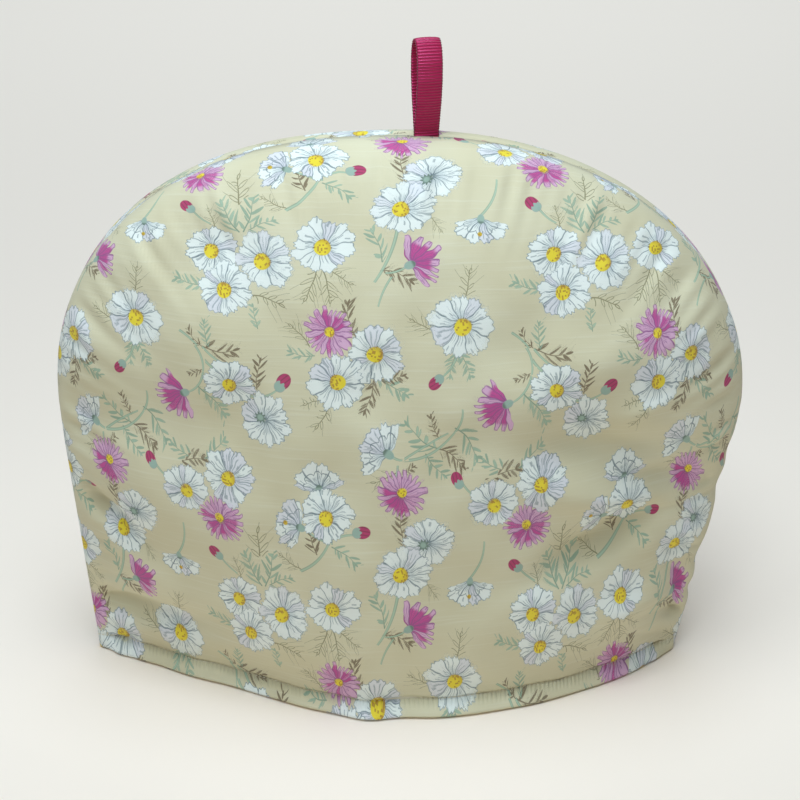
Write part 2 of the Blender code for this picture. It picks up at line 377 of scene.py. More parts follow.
@dataclass(frozen=True)
class Padding:
    """The padded cloth: outer cotton, wadding and the cloth inside, and how it meets the seam."""

    thickness: float = 0.0060
    edge_roll: float = 0.0040
    seam_valley: float = 0.0012
    valley_reach: float = 0.0018
    seam_gap: float = 0.0003
    fold_fade: float = 0.010

    def roll(self, distance: np.ndarray) -> np.ndarray:
        """Rise of the rounded edge at a distance in from the seam."""
        left = np.clip(1 - distance / self.edge_roll, 0, None)
        return self.edge_roll * np.sqrt(1 - left * left)


FRONT_SECTIONS = (
    Section(0.000, -0.009, 0.16, 1.00, 2.0, 1.18),
    Section(0.050, -0.008, 0.35, 1.20, 2.0, 1.40),
    Section(0.120, -0.004, 1.20, 1.65, 2.0, 1.70),
    Section(0.180, 0.000, 2.00, 1.90, 2.0, 1.90),
    Section(0.240, 0.000, 2.00, 2.00, 2.0, 2.00),
)
BACK_SECTIONS = (
    Section(0.000, 0.006, 1.20, 1.15, 0.6, 1.10),
    Section(0.050, 0.005, 1.40, 1.30, 0.9, 1.25),
    Section(0.120, 0.002, 2.00, 1.65, 1.6, 1.65),
    Section(0.180, 0.000, 2.00, 1.90, 2.0, 1.90),
    Section(0.240, 0.000, 2.00, 2.00, 2.0, 2.00),
)
FRONT_FOLDS = (
    Fold(-0.078, 0.196, 22, 0.050, 0.016, 0.0024),
    Fold(-0.071, 0.203, -14, 0.016, 0.008, 0.0016),
    Fold(-0.108, 0.190, -40, 0.018, 0.006, -0.0014),
    Fold(-0.112, 0.150, 62, 0.040, 0.016, 0.0016),
    Fold(-0.100, 0.128, 5, 0.045, 0.020, 0.0056),
    Fold(-0.127, 0.0815, -33, 0.018, 0.0056, 0.0090),
    Fold(-0.134, 0.0905, -15, 0.010, 0.0040, -0.0014),
    Fold(-0.132, 0.0755, -8, 0.012, 0.0036, -0.0022),
    Fold(-0.118, 0.060, -30, 0.026, 0.009, -0.0026),
    Fold(-0.114, 0.029, 4, 0.030, 0.0072, 0.0092),
    Fold(-0.116, 0.019, 0, 0.026, 0.0060, -0.0014),
    Fold(-0.060, 0.112, -8, 0.045, 0.018, 0.0020),
    Fold(0.018, 0.222, 74, 0.016, 0.007, 0.0024),
    Fold(0.086, 0.204, -38, 0.045, 0.016, 0.0024),
    Fold(0.052, 0.155, -57, 0.028, 0.010, 0.0034),
    Fold(0.078, 0.158, 14, 0.042, 0.015, -0.0040),
    Fold(0.092, 0.090, 0, 0.045, 0.030, 0.0072),
    Fold(0.082, 0.119, -12, 0.036, 0.0105, 0.0100),
    Fold(0.106, 0.100, -10, 0.018, 0.0060, 0.0062),
    Fold(0.107, 0.137, 12, 0.013, 0.0036, -0.0022),
    Fold(0.086, 0.096, -14, 0.036, 0.007, -0.0034),
    Fold(0.079, 0.073, 20, 0.032, 0.0085, 0.0094),
    Fold(0.120, 0.050, -72, 0.018, 0.0062, 0.0060),
    Fold(0.104, 0.040, 30, 0.018, 0.009, -0.0040),
    Fold(0.022, 0.060, 68, 0.050, 0.016, 0.0022),
)
FRONT_CREASES = (
    Fold(0.004, 0.226, 62, 0.012, 0.0030, 0.0010),
    Fold(0.018, 0.231, 76, 0.009, 0.0024, 0.0018),
    Fold(-0.1345, 0.0505, -44, 0.009, 0.0024, 0.0014),
    Fold(-0.135, 0.038, -23, 0.008, 0.0024, 0.0012),
    Fold(0.1225, 0.024, -40, 0.008, 0.0026, 0.0060),
    Fold(0.136, 0.132, 4, 0.012, 0.0022, 0.0007),
    Fold(0.136, 0.120, -3, 0.010, 0.0022, 0.0007),
)
BACK_FOLDS = (
    Fold(0.082, 0.192, -24, 0.050, 0.016, 0.0026),
    Fold(0.120, 0.088, 40, 0.030, 0.011, 0.0026),
    Fold(0.108, 0.048, 28, 0.032, 0.010, 0.0024),
    Fold(-0.004, 0.118, 6, 0.070, 0.020, 0.0014),
    Fold(-0.076, 0.110, 34, 0.060, 0.014, 0.0022),
    Fold(-0.088, 0.190, 34, 0.045, 0.016, 0.0022),
    Fold(-0.100, 0.052, -36, 0.036, 0.012, 0.0024),
)


def depth_of_folds(folds: tuple[Fold, ...], x: np.ndarray, z: np.ndarray) -> np.ndarray:
    """Adds up how far folds sink the cloth.

    Args:
        folds: The troughs and ridges.
        x: Places across.
        z: Heights.

    Returns:
        The depth at each place.
    """
    total = np.zeros_like(x)
    for fold in folds:
        turn = math.radians(fold.turn)
        along = (x - fold.x) * math.cos(turn) + (z - fold.z) * math.sin(turn)
        across = (z - fold.z) * math.cos(turn) - (x - fold.x) * math.sin(turn)
        total += fold.sink * np.exp(-((along / fold.length) ** 2) - (across / fold.width) ** 2)
    return total


def spaced(near_edge: tuple[float, ...], step: float, span: float) -> np.ndarray:
    """Spaces the lines of a grid.

    Args:
        near_edge: Distances of the first lines from the edge.
        step: The even spacing that follows them, more or less.
        span: How far the last line is from the edge.

    Returns:
        The distances of all lines from the edge.
    """
    count = round((span - near_edge[-1]) / step)
    return np.concatenate([near_edge[:-1], np.linspace(near_edge[-1], span, count + 1)])


@dataclass
class PaddedPanel:
    """One dome-shaped panel of padded cotton, with a printed face and a plain inside."""

    name: str
    node: str
    slot: str
    facing: Facing
    sections: tuple[Section, ...]
    folds: tuple[Fold, ...]
    creases: tuple[Fold, ...]
    seed: int
    dome: Dome = field(default_factory=Dome)
    hem: Hem = field(default_factory=Hem)
    padding: Padding = field(default_factory=Padding)
    step_across: float = 0.0016
    step_up: float = 0.0017
    seam_lines: tuple[float, ...] = (0, 0.0003, 0.0007, 0.0012, 0.0018, 0.0026, 0.0036, 0.0048, 0.0062)
    hem_step: float = 0.00055
    hem_lines: int = 18
    gather: float = 0.00045
    gather_reach: float = 0.0075
    gather_waves: tuple[float, ...] = (0.0073, 0.0097, 0.0131, 0.0187)
    wobble: float = 0.00028
    wobble_waves: tuple[float, float] = (0.014, 0.050)
    wobble_turns: tuple[float, float] = (0.0, 3.1)
    wobble_count: int = 16
    phases: tuple[float, float] = (0.0, 6.3)
    loop_x: float = 0.0108
    loop_room: float = 0.0012
    loop_reach: float = 0.0064
    line_points: int = 800

    def plan(self, across: np.ndarray, z: np.ndarray) -> np.ndarray:
        """Depth of the plan as a share of its depth at the nose.

        Args:
            across: Share of the half width.
            z: Height.

        Returns:
            1 at the nose and 0 at the seam.
        """
        rows = np.array(self.sections)
        k = np.clip(np.searchsorted(rows[:, 0], z) - 1, 0, len(rows) - 2)
        share = np.clip((z - rows[k, 0]) / (rows[k + 1, 0] - rows[k, 0]), 0, 1)
        eased = (share * share * (3 - 2 * share))[..., None]
        at = Section(*np.moveaxis(rows[k] + (rows[k + 1] - rows[k]) * eased, -1, 0))
        nose = at.nose / (self.dome.width / 2)
        left = across < nose
        bow = np.where(left, at.left_bow, at.right_bow)
        swell = np.where(left, at.left_swell, at.right_swell)
        share = (across - nose) / (np.where(left, -1, 1) - nose)
        flank = (np.hypot(share, bow) - bow) / (np.hypot(1, bow) - bow)
        return np.clip(1 - flank, 0, None) ** (1 / swell)

    def smooth_depth(self, across: np.ndarray, up: np.ndarray) -> np.ndarray:
        """Depth of the printed face with no folds and no hem."""
        z = self.dome.height * up
        body = self.dome.middle_depth(z) - self.padding.edge_roll
        return body * self.plan(across, z) + self.padding.roll(self.dome.rim_distance(across, up))

    def unevenness(self, x: np.ndarray, z: np.ndarray, distance: np.ndarray) -> np.ndarray:
        """Small waves of the wadding, and the gathers that the seam draws into the cloth.

        Args:
            x: Places across.
            z: Heights.
            distance: Distances in from the seam.

        Returns:
            How far the cloth stands out at each place.
        """
        draw = np.random.default_rng(self.seed)
        total = np.zeros_like(x)
        for _ in range(self.wobble_count):
            wave, turn = draw.uniform(*self.wobble_waves), draw.uniform(*self.wobble_turns)
            phase = draw.uniform(*self.phases)
            run = x * math.cos(turn) + z * math.sin(turn)
            total += self.wobble * wave / self.wobble_waves[1] * np.sin(run / wave * TURN + phase)
        run = np.arctan2(x, z - self.dome.height / 3) * self.dome.width / 2
        waves = sum(np.sin(run / w * TURN + draw.uniform(*self.phases)) for w in self.gather_waves)
        near = distance / self.gather_reach
        return total + self.gather * waves * near * np.exp(1 - near)

    def outer(self, across: np.ndarray, up: np.ndarray, on_rim: np.ndarray) -> np.ndarray:
        """Points of the printed face.

        Args:
            across: Shares of the half width.
            up: Shares of the height.
            on_rim: True for the points on the seam.

        Returns:
            The points, with their places in the last axis.
        """
        pad, dome = self.padding, self.dome
        distance = dome.rim_distance(across, up)
        inset = pad.seam_valley * np.clip(1 - distance / pad.valley_reach, 0, None) ** 2
        z = (dome.height - inset) * up
        x = across * dome.half_width(z, across, inset)
        relief = self.hem.relief(x, z) - depth_of_folds(self.folds + self.creases, x, z)
        relief += self.unevenness(x, z, distance)
        depth = (dome.middle_depth(z) - pad.edge_roll) * self.plan(across, z) + pad.roll(distance)
        depth = np.where(on_rim, 0, depth + relief * np.clip(distance / pad.fold_fade, 0, 1))
        room = self.loop_room * np.exp(-(((x - self.loop_x) / self.loop_reach) ** 6))
        room *= np.where(z > dome.height / 2, np.exp(-distance / pad.edge_roll), 0)
        return np.stack([x, self.facing.value * (pad.seam_gap / 2 + depth + room), z], axis=-1)

    def inner(self, across: np.ndarray, up: np.ndarray, on_rim: np.ndarray) -> np.ndarray:
        """Points of the face towards the pot, from the same arguments as the printed face. It
        follows the folds, and lies smooth under the creases and gathers."""
        pad, dome = self.padding, self.dome
        z = (dome.height - pad.thickness) * up
        x = across * dome.half_width(z, across, pad.thickness)
        depth = dome.middle_depth(z, pad.thickness) * self.plan(across, z)
        depth += self.hem.inner_foot * np.clip(1 - z / self.hem.foot, 0, None)
        fade = np.clip(dome.rim_distance(across, up) / pad.fold_fade, 0, 1)
        depth = np.where(on_rim, 0, depth - depth_of_folds(self.folds, x, z) * fade)
        return np.stack([x, self.facing.value * (pad.seam_gap / 2 + depth), z], axis=-1)

    def grid(self) -> tuple[np.ndarray, np.ndarray, np.ndarray]:
        """Shares across and up of the grid's points, and which of them lie on the seam."""
        half = self.dome.width / 2
        side = 1 - spaced(self.seam_lines, self.step_across, half) / half
        columns = np.concatenate([-side, side[-2::-1]])
        top = self.dome.height - np.array(self.seam_lines)[::-1]
        hem = tuple(self.hem_step * i for i in range(self.hem_lines))
        rows = np.concatenate([spaced(hem, self.step_up, top[0]), top[1:]]) / self.dome.height
        column, row = np.meshgrid(columns, rows)
        on_rim = (np.abs(column) == 1) | (row == 1)
        narrowing = np.sqrt(1 - column**2 / 2)
        room = np.sqrt(np.clip(1 - (row * narrowing) ** 2, 0, None))
        spread = column * np.sqrt(1 - row**2 / 2)
        across = np.where(room > 0, spread / np.where(room > 0, room, 1), 0)
        ease = row * row * (3 - 2 * row)
        return np.clip(across, -1, 1), row * (1 - (1 - narrowing) * ease), on_rim

    def faces(self, shape: tuple[int, int]) -> tuple[np.ndarray, np.ndarray, np.ndarray]:
        """Faces of the printed face, of the rim between the two faces, and of the inside."""
        turned = 1 if self.facing is Facing.FRONT else -1
        return tuple(group[:, ::turned] for group in sheet_faces(shape))

    def build(self, cloth: "PrintedCotton", inside: "PlainCotton") -> bpy.types.Object:
        """Builds the panel, dresses it and lets it stand for its node.

        Args:
            cloth: The finish of the printed face and the hem.
            inside: The finish of the face towards the pot.

        Returns:
            The panel's object.
        """
        across, up, on_rim = self.grid()
        outside = self.outer(across, up, on_rim)
        points = np.concatenate([outside.reshape(-1, 3), self.inner(across, up, on_rim).reshape(-1, 3)])
        printed, rim, plain = self.faces(across.shape)
        mesh = bpy.data.meshes.new(self.name)
        mesh.from_pydata(points.tolist(), [], np.concatenate([printed, rim, plain]).tolist())
        mesh.shade_smooth()
        piece = placed(self.name, mesh)
        mesh.materials.append(cloth.material())
        mesh.materials.append(inside.material())
        kinds = np.zeros(len(mesh.polygons), dtype=np.int32)
        kinds[len(printed) + len(rim) :] = points[plain, 2].mean(axis=1) > self.hem.height
        mesh.polygons.foreach_set("material_index", kinds)
        flat = np.tile(FlatCut(self).places(across, up).reshape(-1, 2), (2, 1))
        cloth.mark(mesh, flat, self.hem_runs(points), self.facing)
        mesh.update()
        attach(piece, BODY)
        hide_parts(self.node)
        LOG.info("%s: %d faces", self.name, len(mesh.polygons))
        return piece

    def stitch_line(self, across: np.ndarray) -> np.ndarray:
        """Points of the hem's stitching at shares of the half width."""
        up = self.hem.line(across * self.dome.width / 2) / self.dome.height
        return self.outer(across, up, np.zeros_like(across, dtype=bool))

    def hem_runs(self, points: np.ndarray) -> np.ndarray:
        """Where points lie beside the stitching.

        Args:
            points: Places in space.

        Returns:
            For each point, the stitches up to it and its distance above the stitching in metres.
        """
        line = self.stitch_line(np.linspace(-1, 1, self.line_points)[1:-1])
        lengths = np.concatenate([[0], np.cumsum(np.linalg.norm(np.diff(line, axis=0), axis=1))])
        run = np.interp(points[:, 0], line[:, 0], lengths) / self.hem.stitch_pitch
        return np.stack([run, points[:, 2] - self.hem.line(points[:, 0])], axis=-1)


class FlatCut:
    """Lays a panel's printed face out flat, by its lengths along level lines from the middle and
    upright lines from the hem. Both have more points towards the seam, where the cloth turns."""

    LINES = 420
    LAST_SPOT = LINES - 1.001
    LEAST_WIDTH = MM / 10

    def __init__(self, panel: PaddedPanel) -> None:
        """Measures the panel along its level and upright lines, left side first."""
        self.panel, self.dome = panel, panel.dome
        eased = 1 - (1 - np.linspace(0, 1, self.LINES)) ** 2
        up, out = np.meshgrid(eased, eased, indexing="ij")
        self.level, self.upright = [], []
        for side in (-1, 1):
            across = side * out
            x = self.dome.half_width(self.dome.height * up, across) * across
            self.level.append(self._lengths(x, self.panel.smooth_depth(across, up)))
            x = side * up * self.dome.width / 2
            z = out * self.seam_height(x)
            across = x / np.maximum(self.dome.half_width(z, x), self.LEAST_WIDTH)
            depth = self.panel.smooth_depth(np.clip(across, -1, 1), z / self.dome.height)
            self.upright.append(self._lengths(z, np.where(np.abs(across) < 1, depth, 0)))

    def seam_height(self, x: np.ndarray) -> np.ndarray:
        """Height of the seam over each place across."""
        dome = self.dome
        pairs = (dome.shoulder_curve, dome.shoulder_fullness)
        curve, fullness = (np.where(x < 0, *pair) for pair in pairs)
        share = np.clip(np.abs(x) / (dome.width / 2), 0, 1)
        rise = (1 - share**fullness) ** (1 / curve)
        return dome.widest_at + rise * (dome.height - dome.widest_at)

    def _lengths(self, place: np.ndarray, depth: np.ndarray) -> np.ndarray:
        """Lengths of the cloth along the second axis of a grid of places."""
        steps = np.hypot(np.diff(place, axis=1), np.diff(depth, axis=1))
        return np.concatenate([np.zeros((len(place), 1)), np.cumsum(steps, axis=1)], axis=1)

    def _read(
        self, tables: list[np.ndarray], x: np.ndarray, row: np.ndarray, column: np.ndarray
    ) -> np.ndarray:
        """Reads the table of each point's side at shares of its height and width."""
        spots = [(1 - np.sqrt(1 - np.clip(s, 0, 1))) * self.LAST_SPOT for s in (row, column)]
        j, i = (spot.astype(int) for spot in spots)
        b, a = spots[0] - j, spots[1] - i
        found = []
        for table in tables:
            low = table[j, i] * (1 - a) + table[j, i + 1] * a
            high = table[j + 1, i] * (1 - a) + table[j + 1, i + 1] * a
            found.append(low * (1 - b) + high * b)
        return np.where(x < 0, *found)

    def places(self, across: np.ndarray, up: np.ndarray) -> np.ndarray:
        """Places on the flat cloth, from the middle of the hem.

        Args:
            across: Shares of the half width.
            up: Shares of the height.

        Returns:
            The places right and up, with both in the last axis.
        """
        z = self.dome.height * up
        x = self.dome.half_width(z, across) * across
        right = np.sign(x) * self._read(self.level, x, up, np.abs(across))
        share = np.abs(x) / (self.dome.width / 2)
        raised = self._read(self.upright, x, share, z / self.seam_height(x))
        return np.stack([right, raised], axis=-1)


class Bloom(Enum):
    """How a printed flower is drawn; the value is its number in the print."""

    DAISY = 0
    BACK = 1
    FAN = 2
    PINK = 3
    TASSEL = 4


class Leaf(Enum):
    """How a printed sprig is drawn; the value is its number in the print."""

    SAGE = 0
    TWIG = 1
    FERN = 2


class Level(Enum):
    """Which of two printings a motif belongs to, where one overlaps another."""

    UNDER = "under"
    OVER = "over"


class Mark(NamedTuple):
    """A motif's place in millimetres of the tile, its turn in degrees and its size. The room from
    back to front and to each side is in the motif's own size."""

    x: float
    y: float
    turn: float
    size: float
    back: float
    front: float
    side: float
    bend: float
    code: float

    def local(self, x: np.ndarray, y: np.ndarray) -> tuple[np.ndarray, np.ndarray]:
        """Turns places in the tile into places of the motif, in its own size."""
        turn = math.radians(self.turn)
        right, up = (x - self.x) / self.size, (y - self.y) / self.size
        along = right * math.cos(turn) + up * math.sin(turn)
        across = up * math.cos(turn) - right * math.sin(turn)
        return along, across - self.bend * 4 * along * (1 - along)

    def nearness(self, x: np.ndarray, y: np.ndarray) -> np.ndarray:
        """How near places in the tile are to the motif's middle: 1 at the end of its room, and
        steep, so that the room is nearly a box."""
        along, across = self.local(x, y)
        half = (self.front - self.back) / 2
        end, flank = ((along - self.back - half) / half) ** 2, (across / self.side) ** 2
        return end * end + flank * flank


def code_for(kind: int, number: int) -> float:
    """Codes a motif's kind before the point, and after it a share that varies its drawing.

    Args:
        kind: The kind's number.
        number: The motif's place in its list.

    Returns:
        The code.
    """
    return kind + 0.05 + 0.9 * (number * GOLDEN % 1)


class Flower(NamedTuple):
    """A flower, placed by its middle, or by the foot of its petals where it is seen from the side."""

    x: float
    y: float
    radius: float
    turn: float
    bloom: Bloom
    level: Level

    def mark(self, number: int) -> Mark:
        """Where the flower lies; its number varies the petals."""
        from_side = self.bloom in (Bloom.FAN, Bloom.TASSEL)
        room = 1.1 + 1.2 / self.radius
        back = -0.35 if from_side else -room
        code = code_for(self.bloom.value, number)
        return Mark(self.x, self.y, self.turn, self.radius, back, room, room, 0, code)


class Sprig(NamedTuple):
    """A sprig with leaflets on both sides of its stalk, from its foot to its tip."""

    x: float
    y: float
    tip_x: float
    tip_y: float
    bend: float
    leaf: Leaf
    level: Level

    def mark(self, number: int) -> Mark:
        """Where the sprig lies; its number varies the leaflets."""
        right, up = self.tip_x - self.x, self.tip_y - self.y
        length = math.hypot(right, up)
        turn = math.degrees(math.atan2(up, right))
        code = code_for(self.leaf.value, number)
        return Mark(self.x, self.y, turn, length, -0.12, 1.12, 0.52, self.bend, code)


class Stem(NamedTuple):
    """A bare stem from one end to the other, bent by a share of its length."""

    x: float
    y: float
    end_x: float
    end_y: float
    bend: float
    width: float

    def mark(self, number: int) -> Mark:
        """Where the stem lies; its code is half its width in its own length."""
        right, up = self.end_x - self.x, self.end_y - self.y
        length = math.hypot(right, up)
        turn = math.degrees(math.atan2(up, right))
        side = (self.width / 2 + 1.6) / length
        return Mark(self.x, self.y, turn, length, -0.08, 1.08, side, self.bend, self.width / 2 / length)


class Bud(NamedTuple):
    """A closed bud, pointing along its turn."""

    x: float
    y: float
    turn: float
    radius: float

    def mark(self, number: int) -> Mark:
        """Where the bud lies; its number varies the streaks."""
        room = 1.2 + 1.5 / self.radius
        code = number * GOLDEN % 1
        return Mark(self.x, self.y, self.turn, self.radius, -room, room, room, 0, code)


UNDER, OVER = Level.UNDER, Level.OVER
FLOWERS = (
    Flower(109, 91, 11.5, 80, Bloom.DAISY, OVER),
    Flower(106, 101, 12.5, 95, Bloom.FAN, UNDER),
    Flower(97, 85, 12, 168, Bloom.FAN, UNDER),
    Flower(1, 66, 12.2, 20, Bloom.DAISY, OVER),
    Flower(13, 80, 11.5, 10, Bloom.BACK, UNDER),
    Flower(4, 41.5, 13, 25, Bloom.TASSEL, OVER),
    Flower(64, 47, 11.5, 60, Bloom.DAISY, UNDER),
    Flower(68, 30.5, 11.5, 100, Bloom.DAISY, OVER),
    Flower(86, 43, 12.5, 45, Bloom.DAISY, UNDER),
    Flower(110.5, 49, 12.2, 90, Bloom.DAISY, OVER),
    Flower(32.5, 61, 11, 268, Bloom.FAN, OVER),
    Flower(58.5, 85, 10.5, 300, Bloom.PINK, UNDER),
    Flower(26, 17, 13, 100, Bloom.DAISY, OVER),
    Flower(112.5, 13.5, 10.5, 100, Bloom.PINK, UNDER),
    Flower(131.5, 4, 12.5, 75, Bloom.DAISY, UNDER),
    Flower(115, -8, 12, 200, Bloom.DAISY, OVER),
    Flower(46.5, -16, 13, 205, Bloom.TASSEL, UNDER),
    Flower(68, -10.5, 11, 30, Bloom.DAISY, OVER),
    Flower(83, -26, 11.5, 330, Bloom.BACK, UNDER),
    Flower(137, 118.5, 14, 145, Bloom.FAN, UNDER),
    Flower(142.5, 101.5, 10.5, 250, Bloom.PINK, OVER),
    Flower(42, 96, 11, 140, Bloom.DAISY, UNDER),
    Flower(64, 103.5, 11.5, 75, Bloom.DAISY, OVER),
)
SPRIGS = (
    Sprig(104, 74, 101, 90, 0.05, Leaf.TWIG, UNDER),
    Sprig(111, 78, 123, 70, 0.06, Leaf.SAGE, UNDER),
    Sprig(96, 66, 86, 72, 0.05, Leaf.FERN, OVER),
    Sprig(2, 78, 0.5, 95, 0.04, Leaf.TWIG, UNDER),
    Sprig(12, 62, 17, 55, 0.0, Leaf.FERN, UNDER),
    Sprig(135, 42, 130, 57, -0.06, Leaf.SAGE, UNDER),
    Sprig(134, 39, 148, 33, 0.12, Leaf.TWIG, UNDER),
    Sprig(77, 67, 77, 84, 0.04, Leaf.FERN, OVER),
    Sprig(76, 55, 69, 72, 0.05, Leaf.SAGE, UNDER),
    Sprig(78, 55, 83, 73, -0.05, Leaf.SAGE, OVER),
    Sprig(80, 56, 92, 61, 0.06, Leaf.SAGE, UNDER),
    Sprig(66, 57, 63, 67, 0.0, Leaf.FERN, OVER),
    Sprig(60, 31, 46, 35, 0.05, Leaf.SAGE, UNDER),
    Sprig(80, 28, 94, 23, 0.08, Leaf.FERN, UNDER),
    Sprig(82, 14, 80, 25, 0.0, Leaf.SAGE, UNDER),
    Sprig(108, 40, 102, 26, 0.05, Leaf.FERN, UNDER),
    Sprig(113, 40, 123, 33, -0.05, Leaf.FERN, UNDER),
    Sprig(110, 40, 113, 25, 0.05, Leaf.FERN, OVER),
    Sprig(27, 27, 29, 40, 0.0, Leaf.FERN, UNDER),
    Sprig(16, 14, 4, 19, 0.06, Leaf.FERN, UNDER),
    Sprig(25, 6, 30, -6, 0.05, Leaf.SAGE, UNDER),
    Sprig(24, 6, 21, -6, -0.05, Leaf.SAGE, OVER),
    Sprig(124, 11, 121, 27, 0.12, Leaf.TWIG, UNDER),
    Sprig(106, 3, 94, 5, 0.08, Leaf.SAGE, UNDER),
    Sprig(104, 7, 95, 16, -0.06, Leaf.FERN, UNDER),
    Sprig(112, -16, 105, -28, 0.06, Leaf.FERN, UNDER),
    Sprig(112, -16, 100, -18, -0.08, Leaf.FERN, OVER),
    Sprig(131, -7, 126, -22, 0.05, Leaf.TWIG, UNDER),
    Sprig(132, -7, 146, -14, 0.05, Leaf.SAGE, UNDER),
    Sprig(132, -7, 145, -4, -0.06, Leaf.TWIG, OVER),
    Sprig(57, 6, 74, 6, -0.1, Leaf.TWIG, UNDER),
    Sprig(57, 6, 51, 14, 0.1, Leaf.TWIG, OVER),
    Sprig(60, 6, 59, 18, 0.08, Leaf.SAGE, OVER),
    Sprig(53, -12, 65, -27, 0.08, Leaf.SAGE, UNDER),
    Sprig(80, -12, 83, 2, 0.05, Leaf.TWIG, UNDER),
    Sprig(56, -4, 49, -7, 0.05, Leaf.TWIG, UNDER),
    Sprig(158, 121, 144, 133, 0.08, Leaf.SAGE, UNDER),
    Sprig(159, 125, 155, 136, 0.05, Leaf.TWIG, OVER),
    Sprig(166, 130, 176, 114, 0.1, Leaf.SAGE, UNDER),
    Sprig(153, 119, 163, 108, -0.05, Leaf.SAGE, OVER),
    Sprig(159, 121, 171, 111, 0.08, Leaf.TWIG, UNDER),
    Sprig(140, 111, 129, 106, 0.05, Leaf.FERN, UNDER),
    Sprig(142, 108, 149, 114, 0.05, Leaf.TWIG, OVER),
    Sprig(50, 109, 36, 116, 0.05, Leaf.SAGE, UNDER),
    Sprig(53, 111, 64, 121, -0.05, Leaf.SAGE, OVER),
    Sprig(38, 107, 55, 110, 0.08, Leaf.TWIG, UNDER),
)
STEMS = (
    Stem(96, 65, 110, 80, -0.08, 1.2),
    Stem(110, 80, 121, 83, 0.08, 1.0),
    Stem(109, 79, 103, 99, 0.06, 0.9),
    Stem(111, 79, 111, 84, 0.0, 0.9),
    Stem(110, 80, 99, 85, 0.08, 0.8),
    Stem(141, 57, 131.5, 34, 0.06, 1.2),
    Stem(139, 37, 133, 24, -0.05, 0.8),
    Stem(145, 41, 134, 38, 0.1, 0.8),
    Stem(56, 66, 64, 59, -0.06, 0.8),
    Stem(32, 62, 38.5, 80, -0.1, 0.9),
    Stem(25, 8, 18, -5, 0.1, 0.9),
    Stem(53, 7, 56.5, -5, 0.12, 0.9),
    Stem(56.5, -5, 47, -16, 0.14, 0.9),
    Stem(57, 6, 67, -1, -0.06, 0.9),
    Stem(56, 2, 63, -4, -0.05, 1.1),
    Stem(47, 12.5, 55, 6, 0.04, 0.9),
    Stem(75, -15, 89, -12, -0.12, 1.0),
    Stem(76, -16, 80, -22, -0.05, 0.9),
    Stem(138, 118, 143, 116, -0.08, 1.0),
    Stem(143, 116, 166, 128, -0.12, 1.1),
    Stem(166, 128, 169, 138, -0.1, 0.9),
    Stem(143, 116, 163, 127.5, 0.02, 0.9),
    Stem(141, 115, 139, 107, 0.08, 0.8),
    Stem(28, 105.5, 34, 100, -0.05, 0.8),
)
BUDS = (
    Bud(124.5, 84, 5, 3.7),
    Bud(54, 67.5, 140, 3.6),
    Bud(15.5, -7, 225, 3.4),
    Bud(91.5, -9, 50, 4.0),
    Bud(25.5, 107, 118, 3.4),
)


@dataclass(frozen=True)
class FloralPrint:
    """The tile of the print, in millimetres, and how the cloth is eased over the padding."""

    width: float = 142.0
    height: float = 156.0
    panel_height: float = 240.0
    panel_half: float = 140.0
    ease_level: tuple[float, float] = (0.284, -0.164)
    ease_upright: float = -0.125
    drop_at_sides: tuple[float, float] = (10.0, -9.3)
    lean: float = 0.047
    back_shift: tuple[float, float] = (52.0, 37.0)
    far: float = 9.0

    def layers(self) -> dict[str, list[Mark]]:
        """The marks of each layer of the print, by the layer's name."""
        found = {}
        for level in Level:
            for kind, motifs in (("sprigs", SPRIGS), ("flowers", FLOWERS)):
                chosen = [m.mark(i) for i, m in enumerate(motifs) if m.level is level]
                found[f"{kind}_{level.value}"] = chosen
        found["stems"] = [m.mark(i) for i, m in enumerate(STEMS)]
        found["buds"] = [m.mark(i) for i, m in enumerate(BUDS)]
        return found

    def eased(self, flat: np.ndarray, facing: Facing) -> np.ndarray:
        """Places in the print of places on the flat cloth.

        Args:
            flat: Places in metres from the middle of the hem.
            facing: Which panel it is, because the back one is seen the other way round.

        Returns:
            Places in millimetres, over many tiles.
        """
        right, up = flat[:, 0] * -facing.value / MM, flat[:, 1] / MM
        low = (self.panel_height - up) / self.panel_height
        side = (right / self.panel_half) ** 2
        level, belly = self.ease_level
        x = right * (1 + level * low + belly * low * low)
        y = up * (1 + self.ease_upright * low) + self.lean * low * right
        y += side * (self.drop_at_sides[0] + self.drop_at_sides[1] * low)
        shift = self.back_shift if facing is Facing.BACK else (0.0, 0.0)
        return np.stack([x + shift[0], y + shift[1]], axis=-1)

    def nearest(self, marks: list[Mark], middles: np.ndarray, corners: np.ndarray) -> np.ndarray:
        """Gives each corner of each face its place on the motif that lies nearest to the face.

        Args:
            marks: The motifs of one layer, in one tile.
            middles: Where each face's middle lies in the print.
            corners: Where each corner of each face lies in the print.

        Returns:
            For each corner, its place on the motif and the motif's code.
        """
        low, high = middles.min(axis=0), middles.max(axis=0)
        best = np.ones(len(middles))
        found = np.full((*corners.shape[:2], 3), self.far)
        columns = range(math.floor(low[0] / self.width) - 2, math.ceil(high[0] / self.width) + 1)
        rows = range(math.floor(low[1] / self.height) - 1, math.ceil(high[1] / self.height) + 1)
        tiles = [(column * self.width, row * self.height) for column in columns for row in rows]
        for mark, (right, up) in itertools.product(marks, tiles):
            moved = mark._replace(x=mark.x + right, y=mark.y + up)
            reach = moved.size * (1 + moved.side)
            close = np.abs(middles[:, 0] - moved.x) < reach
            close = np.flatnonzero(close & (np.abs(middles[:, 1] - moved.y) < reach))
            nearness = moved.nearness(*middles[close].T)
            better = nearness < best[close]
            won = close[better]
            best[won] = nearness[better]
            along, across = moved.local(corners[won, :, 0], corners[won, :, 1])
            found[won] = np.stack([along, across, np.full_like(along, mark.code)], axis=-1)
        return found


